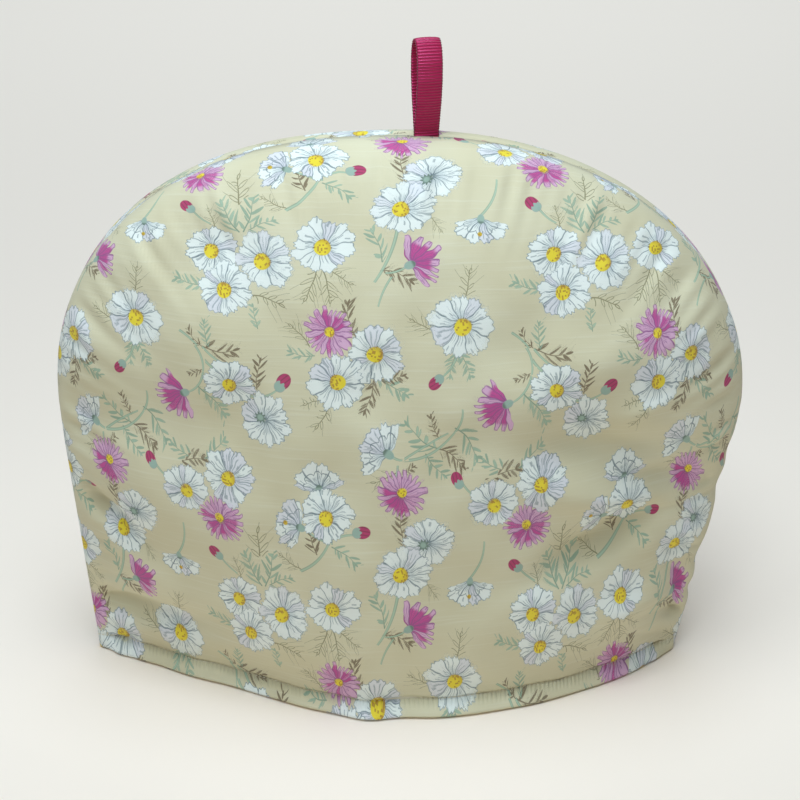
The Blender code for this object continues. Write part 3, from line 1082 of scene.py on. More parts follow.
class Stamp:
    """A node group that paints one kind of motif, from a place on the motif and its code."""

    def __init__(self, name: str) -> None:
        """Starts the group with its sockets."""
        self.tree = bpy.data.node_groups.new(name, "ShaderNodeTree")
        face = self.tree.interface
        face.new_socket("Place", in_out="INPUT", socket_type="NodeSocketVector")
        face.new_socket("Colour", in_out="OUTPUT", socket_type="NodeSocketColor")
        face.new_socket("Cover", in_out="OUTPUT", socket_type="NodeSocketFloat")
        parts = add(self.tree, "ShaderNodeSeparateXYZ", {0: add(self.tree, "NodeGroupInput").outputs[0]})
        x, y, code = parts.outputs
        self.sums = Sums(self.tree, x=x, y=y, code=code)
        self.colour: Any = None

    def coat(self, share: str, colour: Any) -> None:
        """Lays a colour, hex or a socket, over the ones before it, as far as a named sum says."""
        ink = linear(colour) if isinstance(colour, str) else colour
        below = self.colour if self.colour is not None else ink
        self.colour = blend_colours(self.tree, self.sums[share], below, ink)

    def mixed(self, share: str, first: str, second: str) -> Any:
        """Mixes two hex colours by a named sum."""
        return blend_colours(self.tree, self.sums[share], linear(first), linear(second))

    def done(self, cover: str) -> bpy.types.NodeTree:
        """Joins the colour and a named sum to the group's outputs."""
        add(self.tree, "NodeGroupOutput", {0: self.colour, 1: self.sums[cover]})
        return self.tree


@dataclass(frozen=True)
class PrintedCotton:
    """Quilting cotton, plain woven and screen printed. It is matt and a little furry, so the light
    spreads softly over it, and its slubs show as faint level streaks."""

    floral: FloralPrint = field(default_factory=FloralPrint)
    ground: str = "#DED7B6"
    ground_shade: str = "#D1C6A0"
    slub: str = "#E9E6D2"
    petal: str = "#F0F5EE"
    petal_shade: str = "#CFDADA"
    petal_ink: str = "#5F757E"
    blush: str = "#CFC6DC"
    pink: str = "#DEAFCE"
    magenta: str = "#C83791"
    pink_ink: str = "#8F4488"
    gold: str = "#F2DA18"
    ochre: str = "#A96E10"
    dot: str = "#4E4426"
    calyx: str = "#9AB5A6"
    calyx_dark: str = "#4C645C"
    sage: str = "#AFC7AC"
    sage_dark: str = "#7B957E"
    twig: str = "#7C6B51"
    fern: str = "#857F5A"
    bud: str = "#B81264"
    bud_dark: str = "#76063F"
    roughness: float = 0.88
    sheen: float = 0.12
    sheen_roughness: float = 0.5
    relief_mm: float = 0.16
    relief_strength: float = 0.6
    thread_mm: float = 0.62
    slub_mm: tuple[float, float] = (34.0, 1.1)
    blotch_mm: float = 46.0
    print_strength: float = 0.95

    def mark(self, mesh: bpy.types.Mesh, flat: np.ndarray, runs: np.ndarray, facing: Facing) -> None:
        """Writes where the print, the threads and the stitching lie on a panel.

        Args:
            mesh: The panel's mesh, of four-sided faces.
            flat: Each point's place on the flat cloth.
            runs: Each point's place beside the stitching.
            facing: Which panel it is.
        """
        eased = self.floral.eased(flat, facing)
        points = np.empty(len(mesh.loops), dtype=np.int32)
        mesh.loops.foreach_get("vertex_index", points)
        corners = eased[points].reshape(-1, 4, 2)
        middles = corners.mean(axis=1)
        for name, marks in self.floral.layers().items():
            write_vectors(mesh, name, "CORNER", self.floral.nearest(marks, middles, corners))
        write_vectors(mesh, "threads", "POINT", flat / MM)
        write_vectors(mesh, "stitching", "POINT", runs / (1, MM))

    def flower(self) -> bpy.types.NodeTree:
        """Paints daisies and pinks, seen from the front, the back or the side."""
        stamp = Stamp("flower")
        stamp.sums.let(
            kind="floor(code)",
            seed="code - kind",
            pink="kind > 2.5",
            fan="(kind > 1.5) * (1 - wrap(kind, 2))",
            back="(kind > 0.5) * (kind < 1.5)",
            open="(1 - fan) * (1 - back)",
            px="x + 0.030 * sine(y * 6.3 + seed * 40) + 0.014 * sine(y * 17 + x * 5 + seed * 17)",
            py="y + 0.030 * sine(x * 5.7 + seed * 23) + 0.014 * sine(x * 16 - y * 4 + seed * 9)",
            angle="turn(py, px)",
            reach="root(px * px + py * py) * (1 + 0.05 * sine(angle + seed * 20)"
            " + 0.05 * sine(angle * 2 + seed * 37))",
            count="12 + 8 * pink",
            skew="angle + 0.12 * sine(angle * 2 + seed * 15) + 0.06 * sine(angle * 5 + seed * 31)",
            run="skew * count / 6.28319 + 40",
            petal="wrap(floor(run), count)",
            across="size(run - floor(run) - 0.5) * 2",
            luck="chance(petal + seed * 57)",
            other="chance(petal + seed * 91 + 30)",
            span="(1 - fan * ease(size(angle), 1.3, 1.7)) * (0.93 + 0.20 * luck)",
            tip="span * (1 - (0.13 + 0.14 * pink) * across * across * across)"
            " - (0.034 - 0.026 * pink) * (1 + cosine(across * 9.42 + luck * 1.4))",
            flank="1.30 - ease(reach, 0.56 - 0.1 * pink, 1.04) * (0.34 + 0.46 * pink)",
            beside="3.1416 / count * reach",
            edge="least(tip - reach, (flank - across) * beside)",
            petals="ease(edge, -0.006, 0.008)",
            between="(1 - ease((1 - across) * beside, 0.007, 0.024)) * ease(reach, 0.2, 0.4)",
            outline="most(1 - ease(edge, 0.020, 0.046), between)",
            inner="0.64 - 0.13 * (1 - across) * (1 - across) - reach",
            row="(1 - ease(size(inner), 0.006, 0.028)) * fan * (1 - pink) * (reach < span)",
            drawn="most(outline, row) * petals",
            ink="drawn * (0.62 + 0.34 * chance(petal * 3 + floor(reach * 7) + seed))",
            dash="chance(floor(reach * 6 + luck * 3) * 5 + floor(run * 2 + luck) * 3 + seed * 7) > 0.68",
            tick="(1 - ease(size(wrap(run * 2 + luck, 1) - 0.5), 0.06, 0.17))"
            " * dash * petals * (reach > 0.34) * 0.6",
            streak="1 - ease(size(wrap(run * 3 + luck, 1) - 0.5), 0.06, 0.2)",
            lines="streak * (1 - ease(reach, 0.3 + 0.5 * other, 0.42 + 0.5 * other)) * 0.6",
            root_shade="0.75 * (1 - ease(reach, 0.18, 0.6)) + 0.2 * other * ease(across, 0.2, 1)",
            lilac="(other > 0.78) * 0.4",
            bright="ease(chance(petal * 5 + seed * 11) + 0.34 * cosine(angle), 0.48, 0.6)",
            heart="bright * (1 - ease(reach, 0.55 + 0.3 * luck, 0.72 + 0.3 * luck))",
            away="0.15 * chance(seed * 31) * open + 0.22 * back",
            middle="root((x + away) * (x + away) + y * y) * (1 + 0.03 * sine(angle * 3 + seed * 9))",
            disc="0.285 - 0.08 * pink",
            centre="ease(disc - middle, -0.008, 0.012) * open",
            spot="ease(0.10 - root((x - 0.6) * (x - 0.6) + y * y), 0, 0.03)"
            " * fan * (1 - pink) * (seed < 0.4)",
            yellow="most(centre, spot)",
            shaded="ease(middle, 0.05, 0.3) * ease(x - y, -0.3, 0.3) * 0.5",
            speck="(chance(floor(x * 17) + 57 * floor(y * 17) + seed) > 0.74) * yellow * 0.75",
            ring="(1 - ease(size(middle - disc - 0.012), 0.012, 0.036)) * (cosine(angle) > -0.3)",
            beads="(size(wrap(angle * 3.183, 1) - 0.5) < 0.26)"
            " * (chance(floor(angle * 3.183) + seed * 17) > 0.4) * ring * open * 0.8",
            lobes="turn(y, x + away)",
            cup="ease(0.2 - middle * (1 + 0.24 * cosine(lobes * 9)), 0, 0.03) * back",
            foot="ease(0.15 - root(x * x * 0.5 + y * y), 0, 0.03) * fan",
            green="most(cup, foot)",
            dark="most(cup * ease(middle, 0.07, 0.16), foot * ease(x, 0.04, 0.14)) * 0.8",
            cover="most(most(petals, yellow), green)",
        )
        stamp.colour = stamp.mixed("root_shade", self.petal, self.petal_shade)
        stamp.coat("lilac", self.blush)
        stamp.coat("pink", stamp.mixed("heart", self.pink, self.magenta))
        lines = stamp.mixed("pink", self.petal_ink, self.pink_ink)
        stamp.coat("lines", lines)
        stamp.coat("tick", lines)
        stamp.coat("ink", lines)
        stamp.coat("yellow", stamp.mixed("shaded", self.gold, self.ochre))
        stamp.coat("speck", self.ochre)
        stamp.coat("beads", self.dot)
        stamp.coat("green", stamp.mixed("dark", self.calyx, self.calyx_dark))
        return stamp.done("cover")

    def sprig(self) -> bpy.types.NodeTree:
        """Paints sprigs, filled in sage or brown, or drawn in outline."""
        stamp = Stamp("sprig")
        stamp.sums.let(
            kind="floor(code)",
            seed="code - kind",
            fern="kind > 1.5",
            brown="(kind > 0.5) * (1 - fern)",
            left="y > 0",
            off="size(y + 0.012 * sine(x * 9 + seed * 30))",
            slant="0.7 + 0.5 * chance(seed * 5 + left * 3)",
            base="x - off * slant - off * off * 0.5",
            run="base * 3.9 + left * 0.5 + seed",
            leaflet="floor(run)",
            luck="chance(leaflet + 9 * left + seed * 43)",
            other="chance(leaflet * 3 + 5 * left + seed * 19)",
            share="off / ((0.16 + 0.13 * luck) * (1 - 0.4 * ease(base, 0.4, 1)))",
            fat="root(most(share * (1 - share), 0)) * 2",
            alive="(base > 0.02) * (base < 0.9) * (luck > 0.06)",
            axis="0.4 + 0.2 * other + (other - 0.5) * share * 0.9",
            broad="0.17 + 0.05 * luck + 0.05 * fern",
            blade="(broad * fat - size(run - leaflet - axis)) / 3.9 - (1 - alive)",
            short="base * 5.3 + left * 0.3 + seed * 3",
            pick="chance(floor(short) * 7 + left * 4 + seed * 61)",
            part="off / (0.09 + 0.10 * pick)",
            lean="short - floor(short) - 0.5 + (pick - 0.5) * part * 1.2",
            kept="(pick > 0.4) * (base > 0) * (base < 0.95) * (1 - fern)",
            small="(0.30 * root(most(part * (1 - part), 0)) - size(lean)) / 5.3 - (1 - kept)",
            top="(x - 0.80) * 5",
            end="0.036 * root(most(top * (1 - top), 0)) * 2 - off",
            leaves="most(most(blade, small), end)",
            stalk="0.013 * (1.5 - x) - off - (x < 0) - (x > 0.84)",
            filled="ease(most(leaves, stalk), -0.006, 0.012)",
            drawn="most(1 - ease(size(leaves - 0.006), 0.007, 0.019), ease(stalk, -0.006, 0.004)) * 0.9",
            cover="filled * (1 - fern) + drawn * fern",
            tone="most(0.1 + 0.5 * luck, 0.9 - ease(leaves, 0.004, 0.020))",
        )
        stamp.colour = stamp.mixed("tone", self.sage, self.sage_dark)
        stamp.coat("brown", self.twig)
        stamp.coat("fern", self.fern)
        return stamp.done("cover")

    def stem(self) -> bpy.types.NodeTree:
        """Paints bare stems, which taper and are darker along one side."""
        stamp = Stamp("stem")
        stamp.sums.let(
            half="code * (1.35 - 0.35 * x)",
            within="(x > 0) * (x < 1)",
            cover="ease(half - size(y), -0.1 * code, 0.35 * code) * within * 0.95",
            dark="most(ease(size(y), 0.5 * code, 1.1 * code), ease(y, 0, code) * 0.6)",
        )
        stamp.colour = stamp.mixed("dark", self.sage, self.sage_dark)
        return stamp.done("cover")

    def closed_bud(self) -> bpy.types.NodeTree:
        """Paints closed buds, whose petals stand out of a green cup."""
        stamp = Stamp("bud")
        stamp.sums.let(
            ahead="x - 0.2",
            head="ease(1 - root(ahead * ahead + y * y / 0.60), 0, 0.10)",
            behind="(x + 0.48) / 0.66",
            teeth="0.15 * cosine(y * 11 + code * 2) - x",
            cup="ease(1 - root(behind * behind + y * y / 0.44), 0, 0.12) * ease(teeth, -0.02, 0.08)",
            folds="1 - ease(size(wrap(y * 2.2 + x * 0.5 + code, 1) - 0.5), 0.06, 0.22)",
            dark="folds * 0.75",
            cover="most(head, cup)",
        )
        stamp.colour = stamp.mixed("dark", self.bud, self.bud_dark)
        stamp.coat("cup", self.calyx)
        return stamp.done("cover")

    def material(self) -> bpy.types.Material:
        """Builds the material, or returns it where it is already there."""
        name = "printed quilting cotton"
        if name in bpy.data.materials:
            return bpy.data.materials[name]
        material, tree, shader = new_material(name)
        places = add(tree, "ShaderNodeAttribute", attribute_name="threads").outputs["Vector"]
        parts = add(tree, "ShaderNodeSeparateXYZ", {0: places})
        beside = add(tree, "ShaderNodeAttribute", attribute_name="stitching").outputs["Vector"]
        seam = add(tree, "ShaderNodeSeparateXYZ", {0: beside})
        stretch = (1 / self.slub_mm[0], 1 / self.slub_mm[1], 1)
        drawn_out = add(tree, "ShaderNodeMapping", {"Vector": places, "Scale": stretch}).outputs[0]
        slubs = add(tree, "ShaderNodeTexNoise", {"Vector": drawn_out, "Scale": 1.0, "Detail": 2.0})
        blotches = add(tree, "ShaderNodeTexNoise", {"Vector": places, "Scale": 1 / self.blotch_mm})
        sums = Sums(
            tree, u=parts.outputs[0], v=parts.outputs[1], run=seam.outputs[0], above=seam.outputs[1],
            slub=slubs.outputs[0], blotch=blotches.outputs[0], thread=TURN / self.thread_mm,
        )
        sums.let(
            warp="sine(u * thread)",
            weft="sine(v * thread)",
            weave="0.5 + 0.5 * warp * weft",
            shade="ease(blotch, 0.3, 0.7) * 0.5 + weave * 0.16",
            streaks="ease(slub, 0.5, 0.8) * 0.3",
            gap="(above + 0.3) / 1.3",
            pull="1 / (1 + gap * gap * gap * gap)",
            dimple="(0.5 - 0.5 * cosine(run * 6.2832)) * pull",
            relief="weave * 0.30 + slub * 0.8 + dimple * 4.5",
        )
        colour = blend_colours(tree, sums["shade"], linear(self.ground), linear(self.ground_shade))
        colour = blend_colours(tree, sums["streaks"], colour, linear(self.slub))
        sprig, flower = self.sprig(), self.flower()
        stamps = {
            "sprigs_under": sprig, "sprigs_over": sprig, "stems": self.stem(),
            "flowers_under": flower, "flowers_over": flower, "buds": self.closed_bud(),
        }
        for layer, group in stamps.items():
            spot = add(tree, "ShaderNodeAttribute", attribute_name=layer).outputs["Vector"]
            stamped = add(tree, "ShaderNodeGroup", node_tree=group)
            tree.links.new(spot, stamped.inputs[0])
            sums.known["stamped"] = stamped.outputs[1]
            sums.let(inked=f"stamped * {self.print_strength} * (0.94 + 0.06 * weave)")
            colour = blend_colours(tree, sums["inked"], colour, stamped.outputs[0])
        links = {"Height": sums["relief"], "Distance": self.relief_mm * MM, "Strength": self.relief_strength}
        bump = add(tree, "ShaderNodeBump", links)
        tree.links.new(colour, shader.inputs["Base Color"])
        tree.links.new(bump.outputs[0], shader.inputs["Normal"])
        shader.inputs["Roughness"].default_value = self.roughness
        shader.inputs["Sheen Weight"].default_value = self.sheen
        shader.inputs["Sheen Roughness"].default_value = self.sheen_roughness
        return material


@dataclass(frozen=True)
class PlainCotton:
    """Undyed plain cotton of the inside, matt, with its threads showing a little."""

    light: str = "#F1EBD6"
    dark: str = "#E2DAC0"
    roughness: float = 0.9
    relief_mm: float = 0.1
    relief_strength: float = 0.5
    thread_mm: float = 0.7

    def material(self) -> bpy.types.Material:
        """Builds the material, or returns it where it is already there."""
        name = "plain cream cotton"
        if name in bpy.data.materials:
            return bpy.data.materials[name]
        material, tree, shader = new_material(name)
        places = add(tree, "ShaderNodeAttribute", attribute_name="threads").outputs["Vector"]
        parts = add(tree, "ShaderNodeSeparateXYZ", {0: places})
        sums = Sums(tree, u=parts.outputs[0], v=parts.outputs[1], thread=TURN / self.thread_mm)
        sums.let(weave="0.5 + 0.5 * sine(u * thread) * sine(v * thread)")
        colour = blend_colours(tree, sums["weave"], linear(self.light), linear(self.dark))
        links = {"Height": sums["weave"], "Distance": self.relief_mm * MM, "Strength": self.relief_strength}
        bump = add(tree, "ShaderNodeBump", links)
        tree.links.new(colour, shader.inputs["Base Color"])
        tree.links.new(bump.outputs[0], shader.inputs["Normal"])
        shader.inputs["Roughness"].default_value = self.roughness
        return material


@dataclass(frozen=True)
class SewingThread:
    """Twisted polyester sewing thread, cream. Light and dark stripes across its twist are painted highlight
    on the plies and painted shade between them.
    """

    # light is painted highlight on the plies of the twist, dark is painted shade between them
    light: str = "#FBF7E6"
    dark: str = "#D8CDA8"
    roughness: float = 0.55
    twist_mm: float = 0.35

    def material(self) -> bpy.types.Material:
        """Builds the material, or returns it where it is already there."""
        name = "cream sewing thread"
        if name in bpy.data.materials:
            return bpy.data.materials[name]
        material, tree, shader = new_material(name)
        place = add(tree, "ShaderNodeTexCoord").outputs["Object"]
        parts = add(tree, "ShaderNodeSeparateXYZ", {0: place})
        turns = TURN / (self.twist_mm * MM)
        sums = Sums(tree, x=parts.outputs[0], z=parts.outputs[2], turns=turns)
        # painted highlight and shade: light and dark stripes across the twist
        sums.let(twist="0.5 + 0.5 * sine((x + z) * turns)")
        colour = blend_colours(tree, sums["twist"], linear(self.light), linear(self.dark))
        tree.links.new(colour, shader.inputs["Base Color"])
        shader.inputs["Roughness"].default_value = self.roughness
        return material


@dataclass(frozen=True)
class Grosgrain:
    """Grosgrain ribbon of dyed polyester. Close cross ribs give it a soft, silky gloss in bands,
    of a lighter pink. The dark lines between the ribs are painted shade in the grooves."""

    # light is the ribbon's own pink; dark is painted shade, laid in the grooves between the ribs
    light: str = "#B4184C"
    dark: str = "#6C0A2A"
    # edge is a darker colour along both edges of the ribbon
    edge: str = "#7C0F34"
    gloss: str = "#FF86BE"
    roughness: float = 0.30
    specular: float = 1.0
    sheen: float = 0.25
    relief_mm: float = 0.12
    relief_strength: float = 0.7
    rib_mm: float = 1.2
    thread_mm: float = 0.3

    def material(self) -> bpy.types.Material:
        """Builds the material from the ribbon's own run and width."""
        material, tree, shader = new_material("raspberry grosgrain")
        places = add(tree, "ShaderNodeAttribute", attribute_name="ribbon_place").outputs["Vector"]
        parts = add(tree, "ShaderNodeSeparateXYZ", {0: places})
        sums = Sums(
            tree, run=parts.outputs[0], wide=parts.outputs[1],
            ribs=TURN / self.rib_mm, threads=TURN / self.thread_mm,
        )
        sums.let(
            rib="0.5 - 0.5 * cosine(run * ribs)",
            # painted shade: the colour is darkened in the grooves between the ribs
            groove="1 - ease(rib, 0.05, 0.6)",
            thread="0.5 + 0.5 * sine(wide * threads)",
            shade="groove * 0.5 + thread * 0.12",
            # darker along both edges of the ribbon
            selvage="ease(size(wide), 4.7, 5.1)",
            relief="rib + thread * 0.2",
        )
        # mixes the pink towards dark by the painted groove shade and a faint tone of the threads
        colour = blend_colours(tree, sums["shade"], linear(self.light), linear(self.dark))
        colour = blend_colours(tree, sums["selvage"], colour, linear(self.edge))
        links = {"Height": sums["relief"], "Distance": self.relief_mm * MM, "Strength": self.relief_strength}
        bump = add(tree, "ShaderNodeBump", links)
        tree.links.new(colour, shader.inputs["Base Color"])
        tree.links.new(bump.outputs[0], shader.inputs["Normal"])
        shader.inputs["Roughness"].default_value = self.roughness
        shader.inputs["Specular IOR Level"].default_value = self.specular
        shader.inputs["Specular Tint"].default_value = linear(self.gloss)
        shader.inputs["Sheen Weight"].default_value = self.sheen
        return material


def grown(piece: bpy.types.Object, tree: bpy.types.NodeTree, inputs: dict[str, Any]) -> bpy.types.Object:
    """Runs a geometry tree on an object and keeps the result as a plain mesh.

    Args:
        piece: The object that the tree works on.
        tree: The geometry tree.
        inputs: Values of the tree's named inputs.

    Returns:
        The same object, with its new mesh and no modifier.
    """
    modifier = piece.modifiers.new("growth", "NODES")
    modifier.node_group = tree
    for socket in tree.interface.items_tree:
        if socket.name in inputs:
            modifier[socket.identifier] = inputs[socket.name]
    evaluated = piece.evaluated_get(bpy.context.evaluated_depsgraph_get())
    mesh = bpy.data.meshes.new_from_object(evaluated)
    piece.modifiers.clear()
    piece.data = mesh
    return piece


@dataclass
class HemStitches:
    """The row of top stitching along one panel's hem."""

    panel: PaddedPanel
    steps: int = 700
    segments: int = 8
    rings: int = 6
    proud: float = 0.00012
    unevenness: float = 0.12
    seed: int = 5

    def tree(self, thread: bpy.types.Material) -> bpy.types.NodeTree:
        """Builds the tree that lays one stitch at every pitch along a path.

        Args:
            thread: Not used.

        Returns:
            The geometry tree.
        """
        tree = bpy.data.node_groups.new("top stitching", "GeometryNodeTree")
        face = tree.interface
        face.new_socket("Path", in_out="INPUT", socket_type="NodeSocketGeometry")
        for name in ("Pitch", "Length", "Thickness", "Unevenness"):
            face.new_socket(name, in_out="INPUT", socket_type="NodeSocketFloat")
        face.new_socket("Thread", in_out="INPUT", socket_type="NodeSocketMaterial")
        face.new_socket("Stitches", in_out="OUTPUT", socket_type="NodeSocketGeometry")
        path, pitch, length, thickness, uneven, material, _ = add(tree, "NodeGroupInput").outputs
        curve = add(tree, "GeometryNodeMeshToCurve", {0: path})
        links = {"Curve": curve.outputs[0], "Length": pitch}
        even = add(tree, "GeometryNodeResampleCurve", links, mode="LENGTH")
        links = {"Segments": self.segments, "Rings": self.rings, "Radius": 0.5}
        ball = add(tree, "GeometryNodeMeshUVSphere", links)
        size = add(tree, "ShaderNodeCombineXYZ", {0: length, 1: thickness, 2: thickness})
        stitch = add(tree, "GeometryNodeTransform", {"Geometry": ball.outputs[0], "Scale": size.outputs[0]})
        tangent = add(tree, "GeometryNodeInputTangent")
        turned = add(tree, "FunctionNodeAlignRotationToVector", {"Vector": tangent.outputs[0]}, axis="X")
        least = add(tree, "ShaderNodeMath", {0: 1.0, 1: uneven}, operation="SUBTRACT")
        most = add(tree, "ShaderNodeMath", {0: 1.0, 1: uneven}, operation="ADD")
        links = {"Min": least.outputs[0], "Max": most.outputs[0], "Seed": self.seed}
        varied = add(tree, "FunctionNodeRandomValue", data_type="FLOAT")
        for socket in varied.inputs:
            if socket.enabled and socket.name in links:
                value = links[socket.name]
                if isinstance(value, int):
                    socket.default_value = value
                else:
                    tree.links.new(value, socket)
        chance = next(socket for socket in varied.outputs if socket.enabled)
        links = {"Points": even.outputs[0], "Instance": stitch.outputs[0], "Rotation": turned.outputs[0]}
        laid = add(tree, "GeometryNodeInstanceOnPoints", {**links, "Scale": chance})
        real = add(tree, "GeometryNodeRealizeInstances", {0: laid.outputs[0]})
        dressed = add(tree, "GeometryNodeSetMaterial", {"Geometry": real.outputs[0], "Material": material})
        add(tree, "NodeGroupOutput", {0: dressed.outputs[0]})
        return tree

    def build(self, thread: SewingThread) -> bpy.types.Object:
        """Builds the stitches and dresses them."""
        name = f"{self.panel.name}_stitches"
        hem = self.panel.hem
        line = self.panel.stitch_line(np.linspace(-1, 1, self.steps + 2)[1:-1])
        line[:, 1] += self.panel.facing.value * self.proud
        mesh = bpy.data.meshes.new(name)
        mesh.from_pydata(line.tolist(), [(i, i + 1) for i in range(len(line) - 1)], [])
        piece = placed(name, mesh)
        material = thread.material()
        sizes = {
            "Pitch": hem.stitch_pitch, "Length": hem.stitch_length, "Thickness": hem.thread,
            "Unevenness": self.unevenness, "Thread": material,
        }
        grown(piece, self.tree(material), sizes)
        piece.data.shade_smooth()
        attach(piece, BODY)
        LOG.info("%s: %d faces", name, len(piece.data.polygons))
        return piece


@dataclass
class RibbonLoop:
    """One length of ribbon folded in half, with both ends in the seam. Each row of leg is a share
    of the height and the leg's distance there from the seam's plane."""

    width: float = 0.0103
    thickness: float = 0.0008
    cad_thickness: float = 0.0010
    x: float = 0.0106
    turn: float = math.radians(12)
    top: float = 0.2778
    rib_pitch: float = 0.0012
    rib_relief: float = 0.00020
    points_per_rib: int = 8
    columns: int = 14
    curl: float = 0.00035
    edge_reach: float = 1.9
    edge_thinning: float = 0.9
    leg_points: int = 200
    smoothing: int = 6
    leg: tuple[tuple[float, float], ...] = (
        (0.00, 0.00065),
        (0.10, 0.00065),
        (0.24, 0.00240),
        (0.42, 0.00470),
        (0.62, 0.00620),
        (0.80, 0.00620),
        (0.90, 0.00510),
        (0.96, 0.00350),
        (0.99, 0.00185),
        (1.00, 0.00000),
    )

    def path(self, low: float, steps: int) -> tuple[np.ndarray, float]:
        """Points of the ribbon's middle line, up one leg and down the other, evenly spaced.

        Args:
            low: Height of the ends.
            steps: How many even steps to take.

        Returns:
            Each point's distance from the seam's plane and its height, and the whole length.
        """
        high = self.top - self.cad_thickness / 2
        rows = np.array(self.leg)
        angles = np.linspace(0, math.pi, self.leg_points)
        share = (1 - np.cos(angles)) / 2
        spread = np.interp(angles, np.arccos(np.clip(1 - 2 * rows[:, 0], -1, 1)), rows[:, 1])
        height = low + share * (high - low)
        up = np.column_stack([-spread, height])
        down = np.column_stack([spread, height])[-2::-1]
        points = np.concatenate([up, down])
        for _ in range(self.smoothing):
            points[1:-1] = (points[:-2] + 2 * points[1:-1] + points[2:]) / 4
        lengths = np.concatenate([[0], np.cumsum(np.hypot(*np.diff(points, axis=0).T))])
        wanted = np.linspace(0, lengths[-1], steps + 1)
        even = [np.interp(wanted, lengths, points[:, i]) for i in (0, 1)]
        return np.column_stack(even), lengths[-1]

    def tree(self, ribbon: bpy.types.Material) -> bpy.types.NodeTree:
        """Builds the tree that raises the cross ribs.

        Args:
            ribbon: Not used.

        Returns:
            The geometry tree.
        """
        tree = bpy.data.node_groups.new("cross ribs", "GeometryNodeTree")
        face = tree.interface
        face.new_socket("Ribbon", in_out="INPUT", socket_type="NodeSocketGeometry")
        for name in ("Rib pitch", "Rib relief"):
            face.new_socket(name, in_out="INPUT", socket_type="NodeSocketFloat")
        face.new_socket("Finish", in_out="INPUT", socket_type="NodeSocketMaterial")
        face.new_socket("Ribbed", in_out="OUTPUT", socket_type="NodeSocketGeometry")
        ribbon_in, pitch, relief, finish, _ = add(tree, "NodeGroupInput").outputs
        links = {"Name": "ribbon_place"}
        place = add(tree, "GeometryNodeInputNamedAttribute", links, data_type="FLOAT_VECTOR")
        run = add(tree, "ShaderNodeSeparateXYZ", {0: place.outputs[0]}).outputs[0]
        sums = Sums(tree, run=run, pitch=pitch, relief=relief, mm=MM)
        sums.let(rise="size(sine(run * mm / pitch * 3.14159)) * relief - relief / 2")
        normal = add(tree, "GeometryNodeInputNormal").outputs[0]
        offset = add(tree, "ShaderNodeVectorMath", {0: normal, "Scale": sums["rise"]}, operation="SCALE")
        raised = add(tree, "GeometryNodeSetPosition", {"Geometry": ribbon_in, "Offset": offset.outputs[0]})
        real = add(tree, "GeometryNodeRealizeInstances", {0: raised.outputs[0]})
        dressed = add(tree, "GeometryNodeSetMaterial", {"Geometry": real.outputs[0], "Material": finish})
        add(tree, "NodeGroupOutput", {0: dressed.outputs[0]})
        return tree

    def build(self, finish: Grosgrain) -> bpy.types.Object:
        """Builds the ribbon, dresses it and lets it stand for its node."""
        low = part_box("ribbon_loop")[0][2]
        _, length = self.path(low, 2)
        steps = round(length / self.rib_pitch) * self.points_per_rib
        path, _ = self.path(low, steps)
        along = np.gradient(path, axis=0)
        along /= np.linalg.norm(along, axis=1)[:, None]
        wide = np.linspace(-0.5, 0.5, self.columns + 1) * self.width
        outward = (np.abs(wide) / self.width * self.edge_reach) ** 6
        half = self.thickness / 2 * np.sqrt(1 - outward * self.edge_thinning)
        rows = []
        for face in (1, -1):
            off = face * half + self.curl * (2 * wide / self.width) ** 2
            spread = path[:, :1] + along[:, 1:] * off
            height = path[:, 1:] - along[:, :1] * off
            x = self.x + wide * math.cos(self.turn) - spread * math.sin(self.turn)
            y = wide * math.sin(self.turn) + spread * math.cos(self.turn)
            rows.append(np.stack([x, y, height], axis=-1))
        points = np.concatenate([side.reshape(-1, 3) for side in rows])
        faces = np.concatenate(sheet_faces(rows[0].shape[:2]))
        mesh = bpy.data.meshes.new("ribbon_loop_woven")
        mesh.from_pydata(points.tolist(), [], faces.tolist())
        run = np.repeat(np.linspace(0, length, steps + 1), len(wide))
        spots = np.column_stack([run, np.tile(wide, steps + 1)]) / MM
        write_vectors(mesh, "ribbon_place", "POINT", np.tile(spots, (2, 1)))
        piece = placed("ribbon_loop_woven", mesh)
        material = finish.material()
        sizes = {"Rib pitch": self.rib_pitch, "Rib relief": self.rib_relief, "Finish": material}
        grown(piece, self.tree(material), sizes)
        piece.data.shade_smooth()
        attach(piece, BODY)
        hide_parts("ribbon_loop")
        LOG.info("ribbon_loop_woven: %d faces", len(piece.data.polygons))
        return piece


class FarLamp(NamedTuple):
    """A broad light far off: how it leans forwards and sideways, its spread and its strength."""

    name: str
    lean: tuple[float, float]
    spread: float
    strength: float


class BoxLamp(NamedTuple):
    """A square soft box: where it hangs, what it faces, its side and its power."""

    name: str
    place: tuple[float, float, float]
    faces: tuple[float, float, float]
    side: float
    power: float


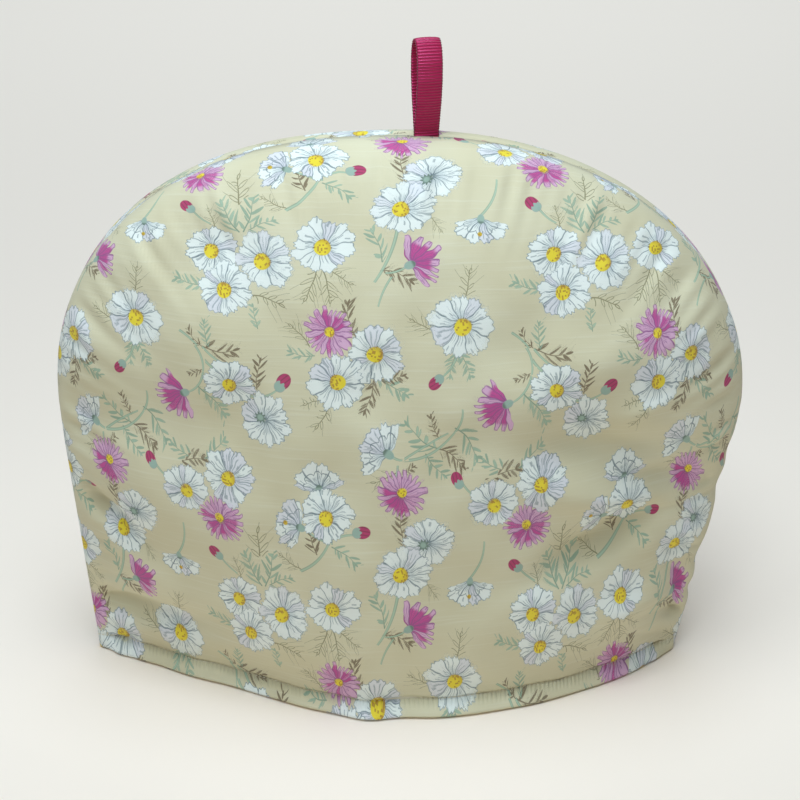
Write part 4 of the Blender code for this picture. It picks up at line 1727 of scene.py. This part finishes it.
@dataclass(frozen=True)
class Studio:
    """A pale floor, soft lights and the camera at the photograph's angle."""

    floor_colour: str = "#FFF0E0"
    floor_roughness: float = 0.95
    floor_size: float = 40.0
    target: tuple[float, float, float] = (0.0, 0.0, 0.110)
    distance: float = 0.8
    elevation: float = 25.0
    focal_px: float = 1853.8
    frame_px: float = 800.0
    middle_y_px: float = 423.67
    sensor_mm: float = 36.0
    far_lamps: tuple[FarLamp, ...] = (
        FarLamp("broad light overhead", (0.0, 0.0), 40.0, 1.45),
        FarLamp("broad light in front", (38.0, -8.0), 24.0, 0.90),
    )
    boxes: tuple[BoxLamp, ...] = (
        BoxLamp("soft box above", (-0.06, -0.20, 0.66), (0.0, 0.0, 0.11), 0.30, 1.60),
        BoxLamp("soft box over the floor behind", (0.0, 1.5, 1.3), (0.0, 1.5, 0.0), 1.2, 6.5),
    )
    lamp_colour: str = "#E4F3FF"
    world_strength: float = 0.02

    def build(self) -> None:
        """Builds the floor, the lights and the camera."""
        self.add_floor()
        self.add_lamps()
        self.add_world()
        self.add_camera()

    def add_floor(self) -> None:
        """Adds the floor, which is stage and no piece of the cosy."""
        mesh = bpy.data.meshes.new("floor")
        half = self.floor_size / 2
        corners = [(-half, -half, 0), (half, -half, 0), (half, half, 0), (-half, half, 0)]
        mesh.from_pydata(corners, [], [(0, 1, 2, 3)])
        floor = placed("floor", mesh)
        material, _, shader = new_material("pale floor")
        shader.inputs["Base Color"].default_value = linear(self.floor_colour)
        shader.inputs["Roughness"].default_value = self.floor_roughness
        mesh.materials.append(material)

    def add_lamps(self) -> None:
        """Adds the broad lights and the soft boxes."""
        for lamp in self.far_lamps:
            light = self.hang(lamp.name, "SUN")
            light.rotation_euler = tuple(math.radians(lean) for lean in (*lamp.lean, 0))
            light.data.energy, light.data.angle = lamp.strength, math.radians(lamp.spread)
        for box in self.boxes:
            light = self.hang(box.name, "AREA")
            light.location = box.place
            light.rotation_euler = self.aim(box.place, box.faces).to_euler()
            light.data.size, light.data.energy = box.side, box.power

    def add_world(self) -> None:
        """Sets the faint light from all sides, and plain colours in the picture."""
        world = bpy.context.scene.world or bpy.data.worlds.new("studio")
        bpy.context.scene.world = world
        world.use_nodes = True
        background = world.node_tree.nodes["Background"]
        background.inputs["Color"].default_value = (1, 1, 1, 1)
        background.inputs["Strength"].default_value = self.world_strength
        bpy.context.scene.view_settings.view_transform = "Standard"

    def hang(self, name: str, kind: str) -> bpy.types.Object:
        """Adds a lamp of a kind and returns its object."""
        light = bpy.data.lights.new(name, kind)
        light.color = linear(self.lamp_colour)[:3]
        return placed(name, light)

    def aim(self, place: tuple[float, float, float], faces: tuple[float, float, float]) -> Quaternion:
        """The turn that points a lamp or camera from its place at what it faces."""
        return (Vector(faces) - Vector(place)).to_track_quat("-Z", "Y")

    def add_camera(self) -> None:
        """Adds the camera and makes it the scene's own."""
        camera = bpy.data.cameras.new("camera")
        camera.lens = self.focal_px / self.frame_px * self.sensor_mm
        camera.sensor_width = self.sensor_mm
        camera.shift_y = (self.middle_y_px - self.frame_px / 2) / self.frame_px
        turn = math.radians(self.elevation)
        x, y, z = self.target
        place = (x, y - self.distance * math.cos(turn), z + self.distance * math.sin(turn))
        stand = placed("camera", camera)
        stand.location = place
        stand.rotation_euler = self.aim(place, self.target).to_euler()
        bpy.context.scene.camera = stand


def main() -> None:
    """Builds every piece of the cosy and the studio."""
    logging.basicConfig(level=logging.INFO, format="%(message)s")
    cloth, inside, thread = PrintedCotton(), PlainCotton(), SewingThread()
    panels = (
        PaddedPanel(
            "front_panel_cloth", "front_panel", "printed_cotton_front", Facing.FRONT,
            FRONT_SECTIONS, FRONT_FOLDS, FRONT_CREASES, seed=3,
        ),
        PaddedPanel(
            "back_panel_cloth", "back_panel", "printed_cotton_back", Facing.BACK,
            BACK_SECTIONS, BACK_FOLDS, (), seed=8,
        ),
    )
    for panel in panels:
        piece = panel.build(cloth, inside)
        stitches = HemStitches(panel).build(thread)
    RibbonLoop().build(Grosgrain())
    Studio().build()


if __name__ == "__main__":
    main()
